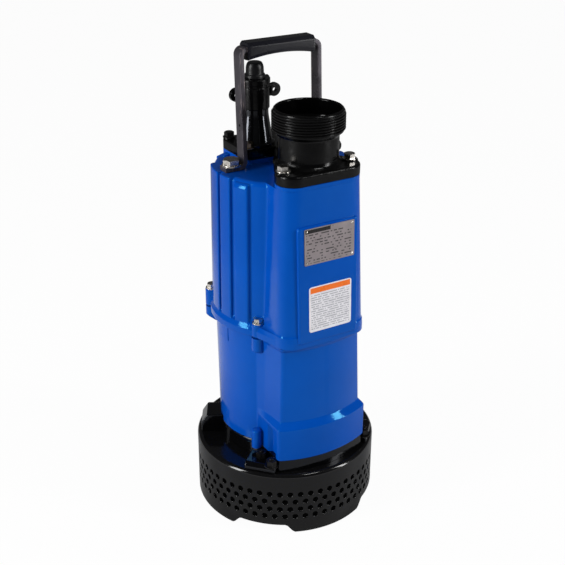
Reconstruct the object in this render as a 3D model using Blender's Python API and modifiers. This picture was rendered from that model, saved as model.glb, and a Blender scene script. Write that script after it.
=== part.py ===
"""Portable submersible dewatering pump with a threaded top discharge.

Metres, +Z up. The origin is on the floor at the strainer's centre line. The
discharge and the rating plate face -Y, and +X is to their right.
"""

import math

import bmesh
import bpy
from mathutils import Matrix, Vector

# Clearances
SEAT_GAP = 0.0003
SHAFT_CLEARANCE = 0.0006
OVERRUN = 0.010

# Round facets
FINE_STEPS = 40
COARSE_STEPS = 28
FACET_DEG = 6.5
ROOT_STEPS = 3

# Strainer
STRAINER_R = 0.120
STRAINER_H = 0.090
STRAINER_SHEET = 0.002
STRAINER_EDGE_R = 0.005
HOLE_R = 0.0038
HOLES_PER_ROW = 56
HOLE_ROWS = 4
HOLE_ROW_PITCH = 0.01153
HOLE_LOWEST_Z = 0.0251
HOLE_STAGGER = 0.25
NOTCH_COUNT = 4
NOTCH_FOOT_WIDTH = 0.083
NOTCH_TOP_WIDTH = 0.064
NOTCH_H = 0.0115

# Motor barrel, set back from the strainer's centre line
MOTOR_Y = 0.012
BARREL_R = 0.0850
BARREL_TOP_TAPER = 0.0020
LOWER_BARREL_TAPER = 0.0028

# Waterway bulge on the front of the two housings
BULGE_HALF = 0.0605
BULGE_FRONT = 0.1010
BULGE_TOP_TAPER = 0.0055
BULGE_TOP_LEAN = 0.0075
UPPER_CORNER_R = 0.020
UPPER_CROWN = 0.0015
LOWER_BULGE_STEP = 0.0042
LOWER_BULGE_SETBACK = 0.0045
LOWER_BULGE_FLARE = 0.0030
LOWER_BULGE_LEAN = 0.0035
LOWER_CORNER_R = 0.006
LOWER_CROWN = 0.010

# Casing and impeller
CASING_BAND_H = 0.0134
CASING_INSET = 0.003
SPIGOT_INSET = 0.0012
SPIGOT_DEPTH = 0.0383
SPIGOT_TOP_DROP = 0.002
SPIGOT_WALL = 0.018
IMPELLER_CLEARANCE = 0.006
CHAMBER_H = 0.032
SUCTION_COVER_RIM = 0.004
SUCTION_COVER_THICK = 0.010
SUCTION_COVER_BEVEL = 0.003
SUCTION_EYE_R = 0.034
SUCTION_EYE_FLARE = 0.006
IMPELLER_SHROUD_THICK = 0.006
IMPELLER_SHROUD_DROP = 0.005
VANE_COUNT = 4
VANE_THICK = 0.006
VANE_TIP_INSET = 0.0005
VANE_ROOT_R = 0.0065
VANE_ARC_DEG = (30, 180)
VANE_H = 0.016
HUB_R = 0.015
HUB_LIP = 0.001
SHAFT_R = 0.009
SHAFT_LENGTH = 0.084
NUT_R = 0.0135
NUT_H = 0.006

# Lugs of the casing
LUG_ROOT = 0.050
LUG_INSET = 0.001
FRONT_LUG_DEG = 220
FRONT_LUG_WIDTH = 0.038
FRONT_LUG_REACH = 0.108
FRONT_LUG_BEVEL = 0.006
BACK_LUG_DEG = 150
BACK_LUG_WIDTH = 0.034
BACK_LUG_REACH = 0.114
BACK_LUG_RISE = 0.0125
BACK_LUG_BEVEL = 0.008
BACK_LUG_BEVEL_H = 0.012

# Lower housing
LOWER_HOUSING_H = 0.1615
SKIRT_STEP = 0.0075
SKIRT_H = 0.052
SKIRT_LEDGE = 0.004
STUD_BOSS_R = 0.0075
STUD_BOSS_H = 0.033
STUD_BOSS_BEVEL = 0.002

# Motor housing
JOINT_GASKET = 0.0015
GASKET_INSET = 0.001
MOTOR_HOUSING_H = 0.2004
SHOULDER_ROUND = 0.0055
COLUMN_RISE = 0.0045
COLUMN_SECTORS = ((154.5, 178), (181.5, 194.5), (199, 212))
COLUMN_TOP_ROUND = 0.0015
RING_H = 0.010
RING_RISE = 0.0072
RING_SLOPE_H = 0.0055
RING_SLOPE_IN = 0.0040
RING_FRONT_RISE = 0.0008
RING_WEB_DEG = 38
PLATE_PAD_HALF = 0.042
PLATE_PAD_DROP = 0.043
PLATE_PAD_RISE = 0.0025
PLATE_PAD_CORNER = 0.002

# Lugs that bolt the two housings together
FRONT_BOLT_OFFSET = 0.0045
FRONT_BOLT_DEG = 219.5
BACK_BOLT_OFFSET = 0.0063
BACK_BOLT_DEG = 144
JOINT_LUG_R = 0.0085
FRONT_LUG_TOP = 0.0165
FRONT_LUG_DEPTH = 0.0185
BACK_JOINT_LUG_TOP = 0.0225
BACK_JOINT_LUG_DEPTH = 0.0125
LUG_GUSSET_H = 0.012
LUG_GUSSET_IN = 0.020

# Discharge coupling
DISCHARGE_Y = -0.0475
DISCHARGE_GASKET = 0.0015
FLANGE_THICK = 0.0135
FLANGE_OVERHANG = 0.0005
FLANGE_LOBE_R = 0.022
FLANGE_BACK_LOBE_Y = 0.0045
FLANGE_BACK_LOBE_R = 0.013
NECK_R = 0.0367
NECK_H = 0.0407
NECK_FILLET = 0.004
NECK_LUG_R = 0.006
NECK_LUG_RISE = 0.0145
NECK_LUG_REACH = 0.0065
NECK_LUG_DEG = -8
COLLAR_R = 0.0445
COLLAR_H = 0.0275
COLLAR_BEVEL = 0.002
COLLAR_WALL = 0.006
COLLAR_SEAT_RISE = 0.008
THROAT_R = 0.031
THROAT_POCKET = 0.060
THROAT_TAPER = 0.006

# Head cover and cable gland
COVER_HALF_X = 0.0452
COVER_DEPTH = 0.0682
COVER_SPACING = 0.0015
COVER_CORNER_R = 0.010
COVER_NECK_H = 0.005
COVER_GASKET = 0.0015
COVER_THICK = 0.0105
GLAND_X = -0.018
GLAND_SETBACK = 0.026
GLAND_H = 0.0452
GLAND_BASE_R = 0.0246
GLAND_BASE_EDGE = 0.003
GLAND_WAIST_R = 0.0165
GLAND_WAIST_H = 0.011
GLAND_BELL_DROP = 0.023
GLAND_BELL_R = 0.0186
CLAMP_R = 0.0180
CLAMP_H = 0.0300
GLAND_BORE_R = 0.0095
EAR_REACH = 0.0265
EAR_R = 0.0085
EAR_THICK = 0.006
EAR_HOLE_R = 0.0024
EAR_RISE = 0.0187
CAP_R = 0.0188
CAP_H = 0.0065
CAP_TAB_R = 0.0030
CAP_TAB_DEG = 10
BOOT_COLLAR_R = 0.0135
BOOT_TOP_R = 0.0095
BOOT_H = 0.0190
BOOT_BEVEL = 0.0025

# Handle
HANDLE_SETBACK = 0.0016
HANDLE_LEAN = 0.0483
HANDLE_HALF = 0.0532
HANDLE_RISE = 0.1428
HANDLE_BAR_THICK = 0.006
HANDLE_BAR_WIDTH = 0.016
HANDLE_BEND_R = 0.004
HANDLE_FOOT_LENGTH = 0.027
LEG_HOLE_R = 0.0018
LEG_HOLE_RISE = 0.0537
GRIP_END_GAP = 0.0077
GRIP_WIDTH = 0.024
GRIP_TOP_RISE = 0.0080
GRIP_MID_DROP = 0.0090
GRIP_END_DROP = 0.0135
GRIP_EDGE_R = 0.004
GRIP_STATIONS = 8

# Rating plate
PLATE_W = 0.070
PLATE_H = 0.0445
PLATE_THICK = 0.0008
PLATE_DROP = 0.065
PLATE_CORNER_R = 0.002

# Radii that follow from the sizes above
LOWER_BARREL_FOOT_R = BARREL_R - LOWER_BARREL_TAPER
SPIGOT_R = LOWER_BARREL_FOOT_R - SPIGOT_INSET
CHAMBER_R = SPIGOT_R - SPIGOT_WALL
IMPELLER_R = CHAMBER_R - IMPELLER_CLEARANCE
VANE_TIP_R = IMPELLER_R - VANE_TIP_INSET
VANE_CENTRE_R = (VANE_TIP_R + VANE_ROOT_R) / 2
VANE_CURVE_R = (VANE_TIP_R - VANE_ROOT_R - VANE_THICK) / 2
FRONT_BOLT_R = BARREL_R + FRONT_BOLT_OFFSET
BACK_BOLT_R = BARREL_R + BACK_BOLT_OFFSET
COLLAR_BORE_R = COLLAR_R - COLLAR_WALL

# Levels, stacked up from the floor
CASING_FOOT_Z = STRAINER_H + SEAT_GAP
CASING_TOP_Z = CASING_FOOT_Z + CASING_BAND_H
SPIGOT_FOOT_Z = CASING_FOOT_Z - SPIGOT_DEPTH
CHAMBER_TOP_Z = SPIGOT_FOOT_Z + CHAMBER_H
LOWER_FOOT_Z = CASING_TOP_Z + SEAT_GAP
SKIRT_TOP_Z = LOWER_FOOT_Z + SKIRT_H
LOWER_TOP_Z = LOWER_FOOT_Z + LOWER_HOUSING_H
MOTOR_FOOT_Z = LOWER_TOP_Z + JOINT_GASKET + 2 * SEAT_GAP
MOTOR_TOP_Z = MOTOR_FOOT_Z + MOTOR_HOUSING_H
SHROUD_TOP_Z = CHAMBER_TOP_Z - IMPELLER_SHROUD_DROP
HUB_FOOT_Z = SHROUD_TOP_Z - IMPELLER_SHROUD_THICK - VANE_H - HUB_LIP
SHAFT_FOOT_Z = HUB_FOOT_Z - SEAT_GAP
SHAFT_TOP_Z = SHAFT_FOOT_Z + SHAFT_LENGTH
FLANGE_FOOT_Z = MOTOR_TOP_Z + DISCHARGE_GASKET + 2 * SEAT_GAP
FLANGE_TOP_Z = FLANGE_FOOT_Z + FLANGE_THICK
COLLAR_FOOT_Z = FLANGE_TOP_Z + NECK_H
COLLAR_TOP_Z = COLLAR_FOOT_Z + COLLAR_H
COVER_FOOT_Z = MOTOR_TOP_Z + COVER_NECK_H + COVER_GASKET + 2 * SEAT_GAP
COVER_TOP_Z = COVER_FOOT_Z + COVER_THICK
GLAND_FOOT_Z = COVER_TOP_Z + SEAT_GAP
GLAND_SEAM_Z = GLAND_FOOT_Z + GLAND_H
CLAMP_FOOT_Z = GLAND_SEAM_Z + SEAT_GAP
CLAMP_TOP_Z = CLAMP_FOOT_Z + CLAMP_H
CAP_FOOT_Z = CLAMP_TOP_Z + SEAT_GAP
CAP_TOP_Z = CAP_FOOT_Z + CAP_H
BOOT_FOOT_Z = CAP_TOP_Z + SEAT_GAP
HANDLE_TOP_Z = MOTOR_TOP_Z + HANDLE_RISE

# Places in plan
MOTOR_AXIS = (0.0, MOTOR_Y)
COVER_FRONT_Y = FLANGE_BACK_LOBE_Y + FLANGE_BACK_LOBE_R + COVER_SPACING
GLAND_Y = COVER_FRONT_Y + GLAND_SETBACK
HANDLE_Y = MOTOR_Y + HANDLE_SETBACK


def clear_scene():
    """Remove what is in the scene before the model is built."""
    for obj in list(bpy.context.scene.objects):
        bpy.data.objects.remove(obj, do_unlink=True)


def new_collection(name):
    """Make a collection and hang it under the scene."""
    collection = bpy.data.collections.new(name)
    bpy.context.scene.collection.children.link(collection)
    return collection


def paint(name, colour, roughness, metallic):
    """Make a plain Principled material."""
    material = bpy.data.materials.new(name)
    material.use_nodes = True
    shader = material.node_tree.nodes["Principled BSDF"]
    shader.inputs["Base Color"].default_value = (*colour, 1.0)
    shader.inputs["Roughness"].default_value = roughness
    shader.inputs["Metallic"].default_value = metallic
    return material


def object_from(name, mesh):
    """Link a mesh as a new object of the model."""
    obj = bpy.data.objects.new(name, mesh)
    PARTS.objects.link(obj)
    return obj


def from_bmesh(name, bm):
    """Turn a bmesh into a linked object."""
    mesh = bpy.data.meshes.new(name)
    bm.to_mesh(mesh)
    bm.free()
    return object_from(name, mesh)


def block(name, low, high):
    """Make a box between two corners."""
    bm = bmesh.new()
    size = Vector(high) - Vector(low)
    centre = (Vector(high) + Vector(low)) / 2
    bmesh.ops.create_cube(bm, size=1.0, matrix=Matrix.Translation(centre) @ Matrix.Diagonal((*size, 1.0)))
    return from_bmesh(name, bm)


def rod(name, radius, low, high, steps=COARSE_STEPS, top_radius=None):
    """Make a cylinder or cone between two points."""
    low, high = Vector(low), Vector(high)
    run = high - low
    turn = run.to_track_quat("Z", "Y").to_matrix().to_4x4()
    bm = bmesh.new()
    bmesh.ops.create_cone(
        bm, cap_ends=True, segments=steps, radius1=radius,
        radius2=radius if top_radius is None else top_radius,
        depth=run.length, matrix=Matrix.Translation((low + high) / 2) @ turn)
    return from_bmesh(name, bm)


def plate(name, outline, low_z, high_z):
    """Extrude a flat outline between two heights, as a mesh."""
    curve = bpy.data.curves.new(name, "CURVE")
    curve.dimensions = "2D"
    curve.fill_mode = "BOTH"
    curve.extrude = (high_z - low_z) / 2
    spline = curve.splines.new("POLY")
    spline.points.add(len(outline) - 1)
    for point, (x, y) in zip(spline.points, outline):
        point.co = (x, y, 0.0, 1.0)
    spline.use_cyclic_u = True
    guide = bpy.data.objects.new(name + "_guide", curve)
    PARTS.objects.link(guide)
    guide.location.z = (low_z + high_z) / 2
    bpy.context.view_layer.update()
    mesh = bpy.data.meshes.new_from_object(guide.evaluated_get(bpy.context.evaluated_depsgraph_get()))
    mesh.name = name
    mesh.transform(guide.matrix_world)
    bpy.data.objects.remove(guide, do_unlink=True)
    weld(mesh)
    return object_from(name, mesh)


def weld(mesh):
    """Close a mesh whose caps or poles are loose, and point its faces outwards."""
    bm = bmesh.new()
    bm.from_mesh(mesh)
    bmesh.ops.remove_doubles(bm, verts=bm.verts, dist=1e-6)
    bmesh.ops.dissolve_degenerate(bm, edges=bm.edges, dist=1e-6)
    bmesh.ops.recalc_face_normals(bm, faces=bm.faces)
    bm.to_mesh(mesh)
    bm.free()


def loft(name, sections):
    """Skin a stack of level sections, each (z, outline), into one closed solid."""
    bm = bmesh.new()
    rings = [[bm.verts.new((x, y, z)) for x, y in outline] for z, outline in sections]
    for lower, upper in zip(rings, rings[1:]):
        for i in range(len(lower)):
            j = (i + 1) % len(lower)
            bm.faces.new((lower[i], lower[j], upper[j], upper[i]))
    bm.faces.new(rings[0][::-1])
    bm.faces.new(rings[-1])
    return from_bmesh(name, bm)


def turned(name, profile, centre=(0.0, 0.0), steps=FINE_STEPS):
    """Turn a profile of (radius, z) points about a vertical axis, outer side top to bottom."""
    mesh = bpy.data.meshes.new(name)
    count = len(profile)
    on_axis = profile[0][0] == 0.0 and profile[-1][0] == 0.0
    edges = [(i, (i + 1) % count) for i in range(count - 1 if on_axis else count)]
    mesh.from_pydata([(r, 0.0, z) for r, z in profile], edges, [])
    obj = object_from(name, mesh)
    obj.location = (centre[0], centre[1], 0.0)
    screw = obj.modifiers.new("turn", "SCREW")
    screw.steps = steps
    screw.render_steps = steps
    screw.use_merge_vertices = True
    screw.merge_threshold = 1e-6
    settle(obj)
    weld(obj.data)
    return obj


def settle(obj):
    """Apply an object's modifiers and place to its mesh."""
    bpy.context.view_layer.update()
    graph = bpy.context.evaluated_depsgraph_get()
    mesh = bpy.data.meshes.new_from_object(obj.evaluated_get(graph))
    mesh.transform(obj.matrix_world)
    obj.modifiers.clear()
    obj.data = mesh
    obj.matrix_world = Matrix.Identity(4)
    return obj


def boolean(obj, tool, operation):
    """Cut or join one object with another, and put the tool with the cutters."""
    modifier = obj.modifiers.new(tool.name, "BOOLEAN")
    modifier.operation = operation
    modifier.solver = "EXACT"
    modifier.object = tool
    for collection in list(tool.users_collection):
        collection.objects.unlink(tool)
    CUTTERS.objects.link(tool)
    tool.hide_render = True
    tool.display_type = "WIRE"
    return settle(obj)


def cut(obj, *tools):
    """Take each tool's shape out of an object."""
    for tool in tools:
        boolean(obj, tool, "DIFFERENCE")
    return obj


def join(obj, *tools):
    """Add each tool's shape to an object."""
    for tool in tools:
        boolean(obj, tool, "UNION")
    return obj


def dress(obj, material, smooth_angle=32.0):
    """Give a finished piece its material and shade its round sides smooth."""
    obj.data.materials.clear()
    obj.data.materials.append(material)
    obj.data.shade_smooth()
    obj.data.set_sharp_from_angle(angle=math.radians(smooth_angle))
    return obj


def arc(centre, radius, start, end, steps):
    """Points along an arc, with both ends, angles in degrees."""
    turn = [math.radians(start + (end - start) * i / steps) for i in range(steps + 1)]
    return [(centre[0] + radius * math.cos(a), centre[1] + radius * math.sin(a)) for a in turn]


def rounded_rectangle(low, high, radius, steps=4):
    """Outline of a rectangle with round corners."""
    (x0, y0), (x1, y1) = low, high
    return (arc((x1 - radius, y0 + radius), radius, -90, 0, steps)
            + arc((x1 - radius, y1 - radius), radius, 0, 90, steps)
            + arc((x0 + radius, y1 - radius), radius, 90, 180, steps)
            + arc((x0 + radius, y0 + radius), radius, 180, 270, steps))


def bulge_nose(half, front, corner_r, crown, steps=4):
    """Front of the waterway bulge, left to right: round corners and a crowned face."""
    crown_r = (half * half + crown * crown) / (2 * crown)
    lean = math.degrees(math.asin((half - corner_r) / (crown_r - corner_r)))
    corner_y = crown_r - front - (crown_r - corner_r) * math.cos(math.radians(lean))
    left = arc((corner_r - half, corner_y), corner_r, 180, 270 - lean, steps)
    face = arc((0.0, crown_r - front), crown_r, -90 - lean, -90 + lean, 6)
    right = arc((half - corner_r, corner_y), corner_r, -90 + lean, 0, steps)
    return left + face[1:-1] + right


def housing_outline(barrel_r, half, front, corner_r, crown):
    """Outline of a housing: the plain motor barrel run into the bulge."""
    root = math.degrees(math.acos(half / barrel_r))
    return arc(MOTOR_AXIS, barrel_r, -root, 180 + root, FINE_STEPS) + bulge_nose(half, front, corner_r, crown)


def lower_outline(share, step=0.0):
    """Outline of the lower housing at a share of its height, widened by a step on the bulge."""
    return housing_outline(
        LOWER_BARREL_FOOT_R + LOWER_BARREL_TAPER * share,
        BULGE_HALF - LOWER_BULGE_STEP + LOWER_BULGE_FLARE * (1 - share) + step,
        BULGE_FRONT - LOWER_BULGE_SETBACK + LOWER_BULGE_LEAN * (1 - share) + step,
        LOWER_CORNER_R, LOWER_CROWN)


def column_foot(bearing, barrel_r, crest_r):
    """Bearing at which a column's level flank meets the barrel, from the bearing of its crest's edge."""
    foot = math.degrees(math.asin(math.sin(math.radians(bearing)) * crest_r / barrel_r))
    return foot if bearing < 90 else 180 - foot


def motor_outline(share, inset=0.0, crest_inset=0.0):
    """Outline of the motor housing at a share of its height, its barrel and its columns pulled in."""
    barrel_r = BARREL_R - BARREL_TOP_TAPER * share - inset
    crest_r = BARREL_R - BARREL_TOP_TAPER * share + COLUMN_RISE - crest_inset
    half = BULGE_HALF - BULGE_TOP_TAPER * share
    root = math.degrees(math.acos(half / barrel_r))
    marks = [(180 - end, 180 - start) for start, end in COLUMN_SECTORS] + list(COLUMN_SECTORS)
    outline = []
    at, gap_start = -root, None
    for start, end in sorted(marks):
        steps = ROOT_STEPS if gap_start is None else max(1, round((start - gap_start) / FACET_DEG))
        outline += arc(MOTOR_AXIS, barrel_r, at, column_foot(start, barrel_r, crest_r), steps)
        outline += arc(MOTOR_AXIS, crest_r, start, end, max(2, round((end - start) / FACET_DEG)))
        at, gap_start = column_foot(end, barrel_r, crest_r), end
    outline += arc(MOTOR_AXIS, barrel_r, at, 180 + root, ROOT_STEPS)
    return outline + bulge_nose(half, BULGE_FRONT - BULGE_TOP_LEAN * share, UPPER_CORNER_R, UPPER_CROWN)


def ring_outline(inset=0.0):
    """Outline of the joint ring, whose webs fill the corners between the barrel and the bulge."""
    barrel = arc(MOTOR_AXIS, BARREL_R + RING_RISE - inset, -RING_WEB_DEG, 180 + RING_WEB_DEG, FINE_STEPS)
    front = RING_FRONT_RISE * (1 - inset / RING_RISE)
    return barrel + bulge_nose(BULGE_HALF + front, BULGE_FRONT + front, UPPER_CORNER_R, UPPER_CROWN)


def hull_of_lobes(lobes, steps=8):
    """Outline round a counter-clockwise chain of circles (x, y, radius), by their outer tangents."""
    count = len(lobes)
    bearings = []
    for i, (x, y, radius) in enumerate(lobes):
        nx, ny, next_radius = lobes[(i + 1) % count]
        run = math.degrees(math.atan2(ny - y, nx - x))
        tilt = math.degrees(math.asin((radius - next_radius) / math.hypot(nx - x, ny - y)))
        bearings.append(run - 90 + tilt)
    outline = []
    for i, (x, y, radius) in enumerate(lobes):
        start, end = bearings[i - 1], bearings[i]
        while end < start:
            end += 360
        outline += arc((x, y), radius, start, end, steps)
    return outline


def polar(centre, radius, bearing):
    """Point at a radius and a bearing, in degrees, from a centre."""
    turn = math.radians(bearing)
    return centre[0] + radius * math.cos(turn), centre[1] + radius * math.sin(turn)


def mirrored(bearing):
    """A bearing and its mirror image across the pump's middle plane."""
    return bearing, 180 - bearing


def lug_outline(bearing, radius):
    """Outline of a round-ended lug that runs out of the motor barrel to a bolt."""
    end = polar(MOTOR_AXIS, radius, bearing)
    root = polar(MOTOR_AXIS, BARREL_R / 2, bearing)
    side = polar((0.0, 0.0), JOINT_LUG_R, bearing + 90)
    return arc(end, JOINT_LUG_R, bearing - 90, bearing + 90, 6) + [
        (root[0] + side[0], root[1] + side[1]), (root[0] - side[0], root[1] - side[1])]


def build_strainer(material):
    """Perforated sheet strainer that the pump stands on."""
    inner_r = STRAINER_R - STRAINER_SHEET
    under_z = STRAINER_H - STRAINER_SHEET
    mouth_r = SPIGOT_R + SEAT_GAP
    edge_centre = (STRAINER_R - STRAINER_EDGE_R, STRAINER_H - STRAINER_EDGE_R)
    edge = arc(edge_centre, STRAINER_EDGE_R, 90, 0, 2)
    inside = arc(edge_centre, STRAINER_EDGE_R - STRAINER_SHEET, 0, 90, 1)
    profile = [(mouth_r, STRAINER_H)] + edge + [(STRAINER_R, 0.0), (inner_r, 0.0)] + inside
    profile += [(mouth_r, under_z)]
    strainer = turned("strainer", profile, steps=HOLES_PER_ROW)

    holes = bmesh.new()
    step = 2 * math.pi / HOLES_PER_ROW
    up = Vector((0.0, 0.0, 1.0))
    for row in range(HOLE_ROWS):
        stagger = HOLE_STAGGER if row % 2 == 0 else -HOLE_STAGGER
        for i in range(HOLES_PER_ROW):
            angle = step * (i + stagger)
            way = Vector((math.cos(angle), math.sin(angle), 0.0))
            place = way * STRAINER_R + up * (HOLE_LOWEST_Z + row * HOLE_ROW_PITCH)
            turn = Matrix((up.cross(way), up, way)).transposed().to_4x4()
            bmesh.ops.create_cone(
                holes, cap_ends=True, segments=6, radius1=HOLE_R, radius2=HOLE_R,
                depth=6 * STRAINER_SHEET, matrix=Matrix.Translation(place) @ turn)
    bmesh.ops.recalc_face_normals(holes, faces=holes.faces)
    cut(strainer, from_bmesh("strainer_holes", holes))

    foot, top = NOTCH_FOOT_WIDTH / 2, NOTCH_TOP_WIDTH / 2
    spread = 2 * foot - top
    for i in range(NOTCH_COUNT):
        bearing = 2 * math.pi * (i + 0.5) / NOTCH_COUNT
        outline = [(-spread, -NOTCH_H), (spread, -NOTCH_H), (top, NOTCH_H), (-top, NOTCH_H)]
        notch = plate("strainer_notch", outline, 0.0, STRAINER_R)
        notch.data.transform(
            Matrix.Translation((math.cos(bearing) * STRAINER_R / 2, math.sin(bearing) * STRAINER_R / 2, 0.0))
            @ Matrix.Rotation(bearing + math.pi / 2, 4, "Z") @ Matrix.Rotation(math.pi / 2, 4, "X"))
        cut(strainer, notch)
    return dress(strainer, material)


def casing_lug(name, bearing, width, profile):
    """One lug of the pump casing, from its side profile of (reach, height) points."""
    piece = plate(name, profile, -width / 2, width / 2)
    piece.data.transform(
        Matrix.Translation((0.0, 0.0, CASING_FOOT_Z)) @ Matrix.Rotation(math.radians(bearing), 4, "Z")
        @ Matrix.Rotation(math.pi / 2, 4, "X"))
    return piece


def build_casing(material):
    """Cast pump casing: the band under the housing, its lugs and the spigot in the strainer."""
    casing = plate("pump_casing", lower_outline(0.0, SKIRT_STEP - CASING_INSET), CASING_FOOT_Z, CASING_TOP_Z)
    low, high = LUG_INSET, CASING_BAND_H - LUG_INSET
    front_profile = [
        (LUG_ROOT, low), (FRONT_LUG_REACH, low), (FRONT_LUG_REACH, high - FRONT_LUG_BEVEL),
        (FRONT_LUG_REACH - FRONT_LUG_BEVEL, high), (LUG_ROOT, high)]
    for bearing in mirrored(FRONT_LUG_DEG):
        join(casing, casing_lug("front_lug", bearing, FRONT_LUG_WIDTH, front_profile))
    top = CASING_BAND_H + BACK_LUG_RISE
    back_profile = [
        (LUG_ROOT, low), (BACK_LUG_REACH, low), (BACK_LUG_REACH, top - BACK_LUG_BEVEL_H),
        (BACK_LUG_REACH - BACK_LUG_BEVEL, top), (LUG_ROOT, top)]
    barrel = rod("barrel_way", BARREL_R + SEAT_GAP, (*MOTOR_AXIS, high),
                 (*MOTOR_AXIS, top + OVERRUN), FINE_STEPS)
    barrel.data.transform(Matrix.Translation((0.0, 0.0, CASING_FOOT_Z)))
    for bearing in mirrored(BACK_LUG_DEG):
        piece = casing_lug("back_lug", bearing, BACK_LUG_WIDTH, back_profile)
        cut(piece, barrel)
        join(casing, piece)
    spigot_top = CASING_TOP_Z - SPIGOT_TOP_DROP
    spigot = turned("casing_spigot", [
        (0.0, spigot_top), (SPIGOT_R, spigot_top), (SPIGOT_R, SPIGOT_FOOT_Z),
        (CHAMBER_R, SPIGOT_FOOT_Z), (CHAMBER_R, CHAMBER_TOP_Z), (0.0, CHAMBER_TOP_Z)])
    join(casing, spigot)
    cut(casing, rod("casing_shaft_way", SHAFT_R + SHAFT_CLEARANCE,
                    (0, 0, CHAMBER_TOP_Z - OVERRUN), (0, 0, CASING_TOP_Z + OVERRUN)))
    return dress(casing, material)


def build_suction_cover(material):
    """Cast plate that closes the casing from below, with the suction eye."""
    top = SPIGOT_FOOT_Z - SEAT_GAP
    low = top - SUCTION_COVER_THICK
    rim_r = SPIGOT_R + SUCTION_COVER_RIM
    cover = turned("suction_cover", [
        (SUCTION_EYE_R, top), (rim_r, top), (rim_r, low + SUCTION_COVER_BEVEL),
        (rim_r - SUCTION_COVER_BEVEL, low), (SUCTION_EYE_R + SUCTION_EYE_FLARE, low),
        (SUCTION_EYE_R, low + SUCTION_EYE_FLARE)])
    return dress(cover, material)


def build_impeller(iron, steel):
    """Semi-open impeller with curved vanes, seen through the suction eye, its shaft and its nut."""
    shroud_z = SHROUD_TOP_Z - IMPELLER_SHROUD_THICK
    impeller = turned("impeller", [
        (0.0, SHROUD_TOP_Z), (IMPELLER_R, SHROUD_TOP_Z), (IMPELLER_R, shroud_z), (HUB_R, shroud_z),
        (HUB_R, HUB_FOOT_Z), (0.0, HUB_FOOT_Z)], steps=COARSE_STEPS)
    first, last = VANE_ARC_DEG
    for i in range(VANE_COUNT):
        bearing = 360 * i / VANE_COUNT
        centre = polar((0.0, 0.0), VANE_CENTRE_R, bearing)
        outer = arc(centre, VANE_CURVE_R + VANE_THICK / 2, bearing + first, bearing + last, 6)
        inner = arc(centre, VANE_CURVE_R - VANE_THICK / 2, bearing + last, bearing + first, 6)
        join(impeller, plate("impeller_vane", outer + inner, shroud_z - VANE_H, shroud_z + SPIGOT_TOP_DROP / 2))
    cut(impeller, rod("impeller_bore", SHAFT_R + SEAT_GAP, (0, 0, HUB_FOOT_Z - OVERRUN),
                      (0, 0, SHROUD_TOP_Z + OVERRUN)))
    dress(impeller, iron)

    dress(rod("pump_shaft", SHAFT_R, (0, 0, SHAFT_FOOT_Z), (0, 0, SHAFT_TOP_Z)), steel)
    nut_top = SHAFT_FOOT_Z - SEAT_GAP
    dress(rod("impeller_nut", NUT_R, (0, 0, nut_top - NUT_H), (0, 0, nut_top), 6), steel)


def build_lower_housing(material):
    """Blue oil chamber and waterway casting between the casing and the motor."""
    share = SKIRT_H / LOWER_HOUSING_H
    housing = loft("lower_housing", [
        (LOWER_FOOT_Z, lower_outline(0.0, SKIRT_STEP)),
        (SKIRT_TOP_Z, lower_outline(share, SKIRT_STEP)),
        (SKIRT_TOP_Z + SKIRT_LEDGE, lower_outline(share)),
        (LOWER_TOP_Z, lower_outline(1.0))])
    lug_top = LOWER_TOP_Z - LUG_INSET
    for bearing, radius, depth in ((FRONT_BOLT_DEG, FRONT_BOLT_R, FRONT_LUG_DEPTH),
                                   (BACK_BOLT_DEG, BACK_BOLT_R, BACK_JOINT_LUG_DEPTH)):
        low_z = LOWER_TOP_Z - depth
        for way in mirrored(bearing):
            full = lug_outline(way, radius)
            drawn_in = lug_outline(way, radius - LUG_GUSSET_IN)
            join(housing, loft("joint_lug", [(low_z - LUG_GUSSET_H, drawn_in), (low_z, full), (lug_top, full)]))
    boss_top = LOWER_FOOT_Z + STUD_BOSS_H
    for bearing in mirrored(FRONT_BOLT_DEG):
        boss = turned("stud_boss", [
            (0.0, boss_top), (STUD_BOSS_R - STUD_BOSS_BEVEL, boss_top), (STUD_BOSS_R, boss_top - STUD_BOSS_BEVEL),
            (STUD_BOSS_R, LOWER_FOOT_Z + LUG_INSET), (0.0, LOWER_FOOT_Z + LUG_INSET)],
            polar(MOTOR_AXIS, BARREL_R, bearing), 14)
        join(housing, boss)
    cut(housing, rod("lower_shaft_way", SHAFT_R + SHAFT_CLEARANCE, (0, 0, LOWER_FOOT_Z - OVERRUN),
                     (0, 0, SHAFT_TOP_Z + SEAT_GAP)))
    return dress(housing, material)


def build_joint_gasket(material):
    """Thin gasket between the two housings."""
    low = LOWER_TOP_Z + SEAT_GAP
    outline = housing_outline(
        BARREL_R - GASKET_INSET, BULGE_HALF - LOWER_BULGE_STEP - GASKET_INSET,
        BULGE_FRONT - LOWER_BULGE_SETBACK - GASKET_INSET, LOWER_CORNER_R, LOWER_CROWN)
    return dress(plate("housing_gasket", outline, low, low + JOINT_GASKET), material)


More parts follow.
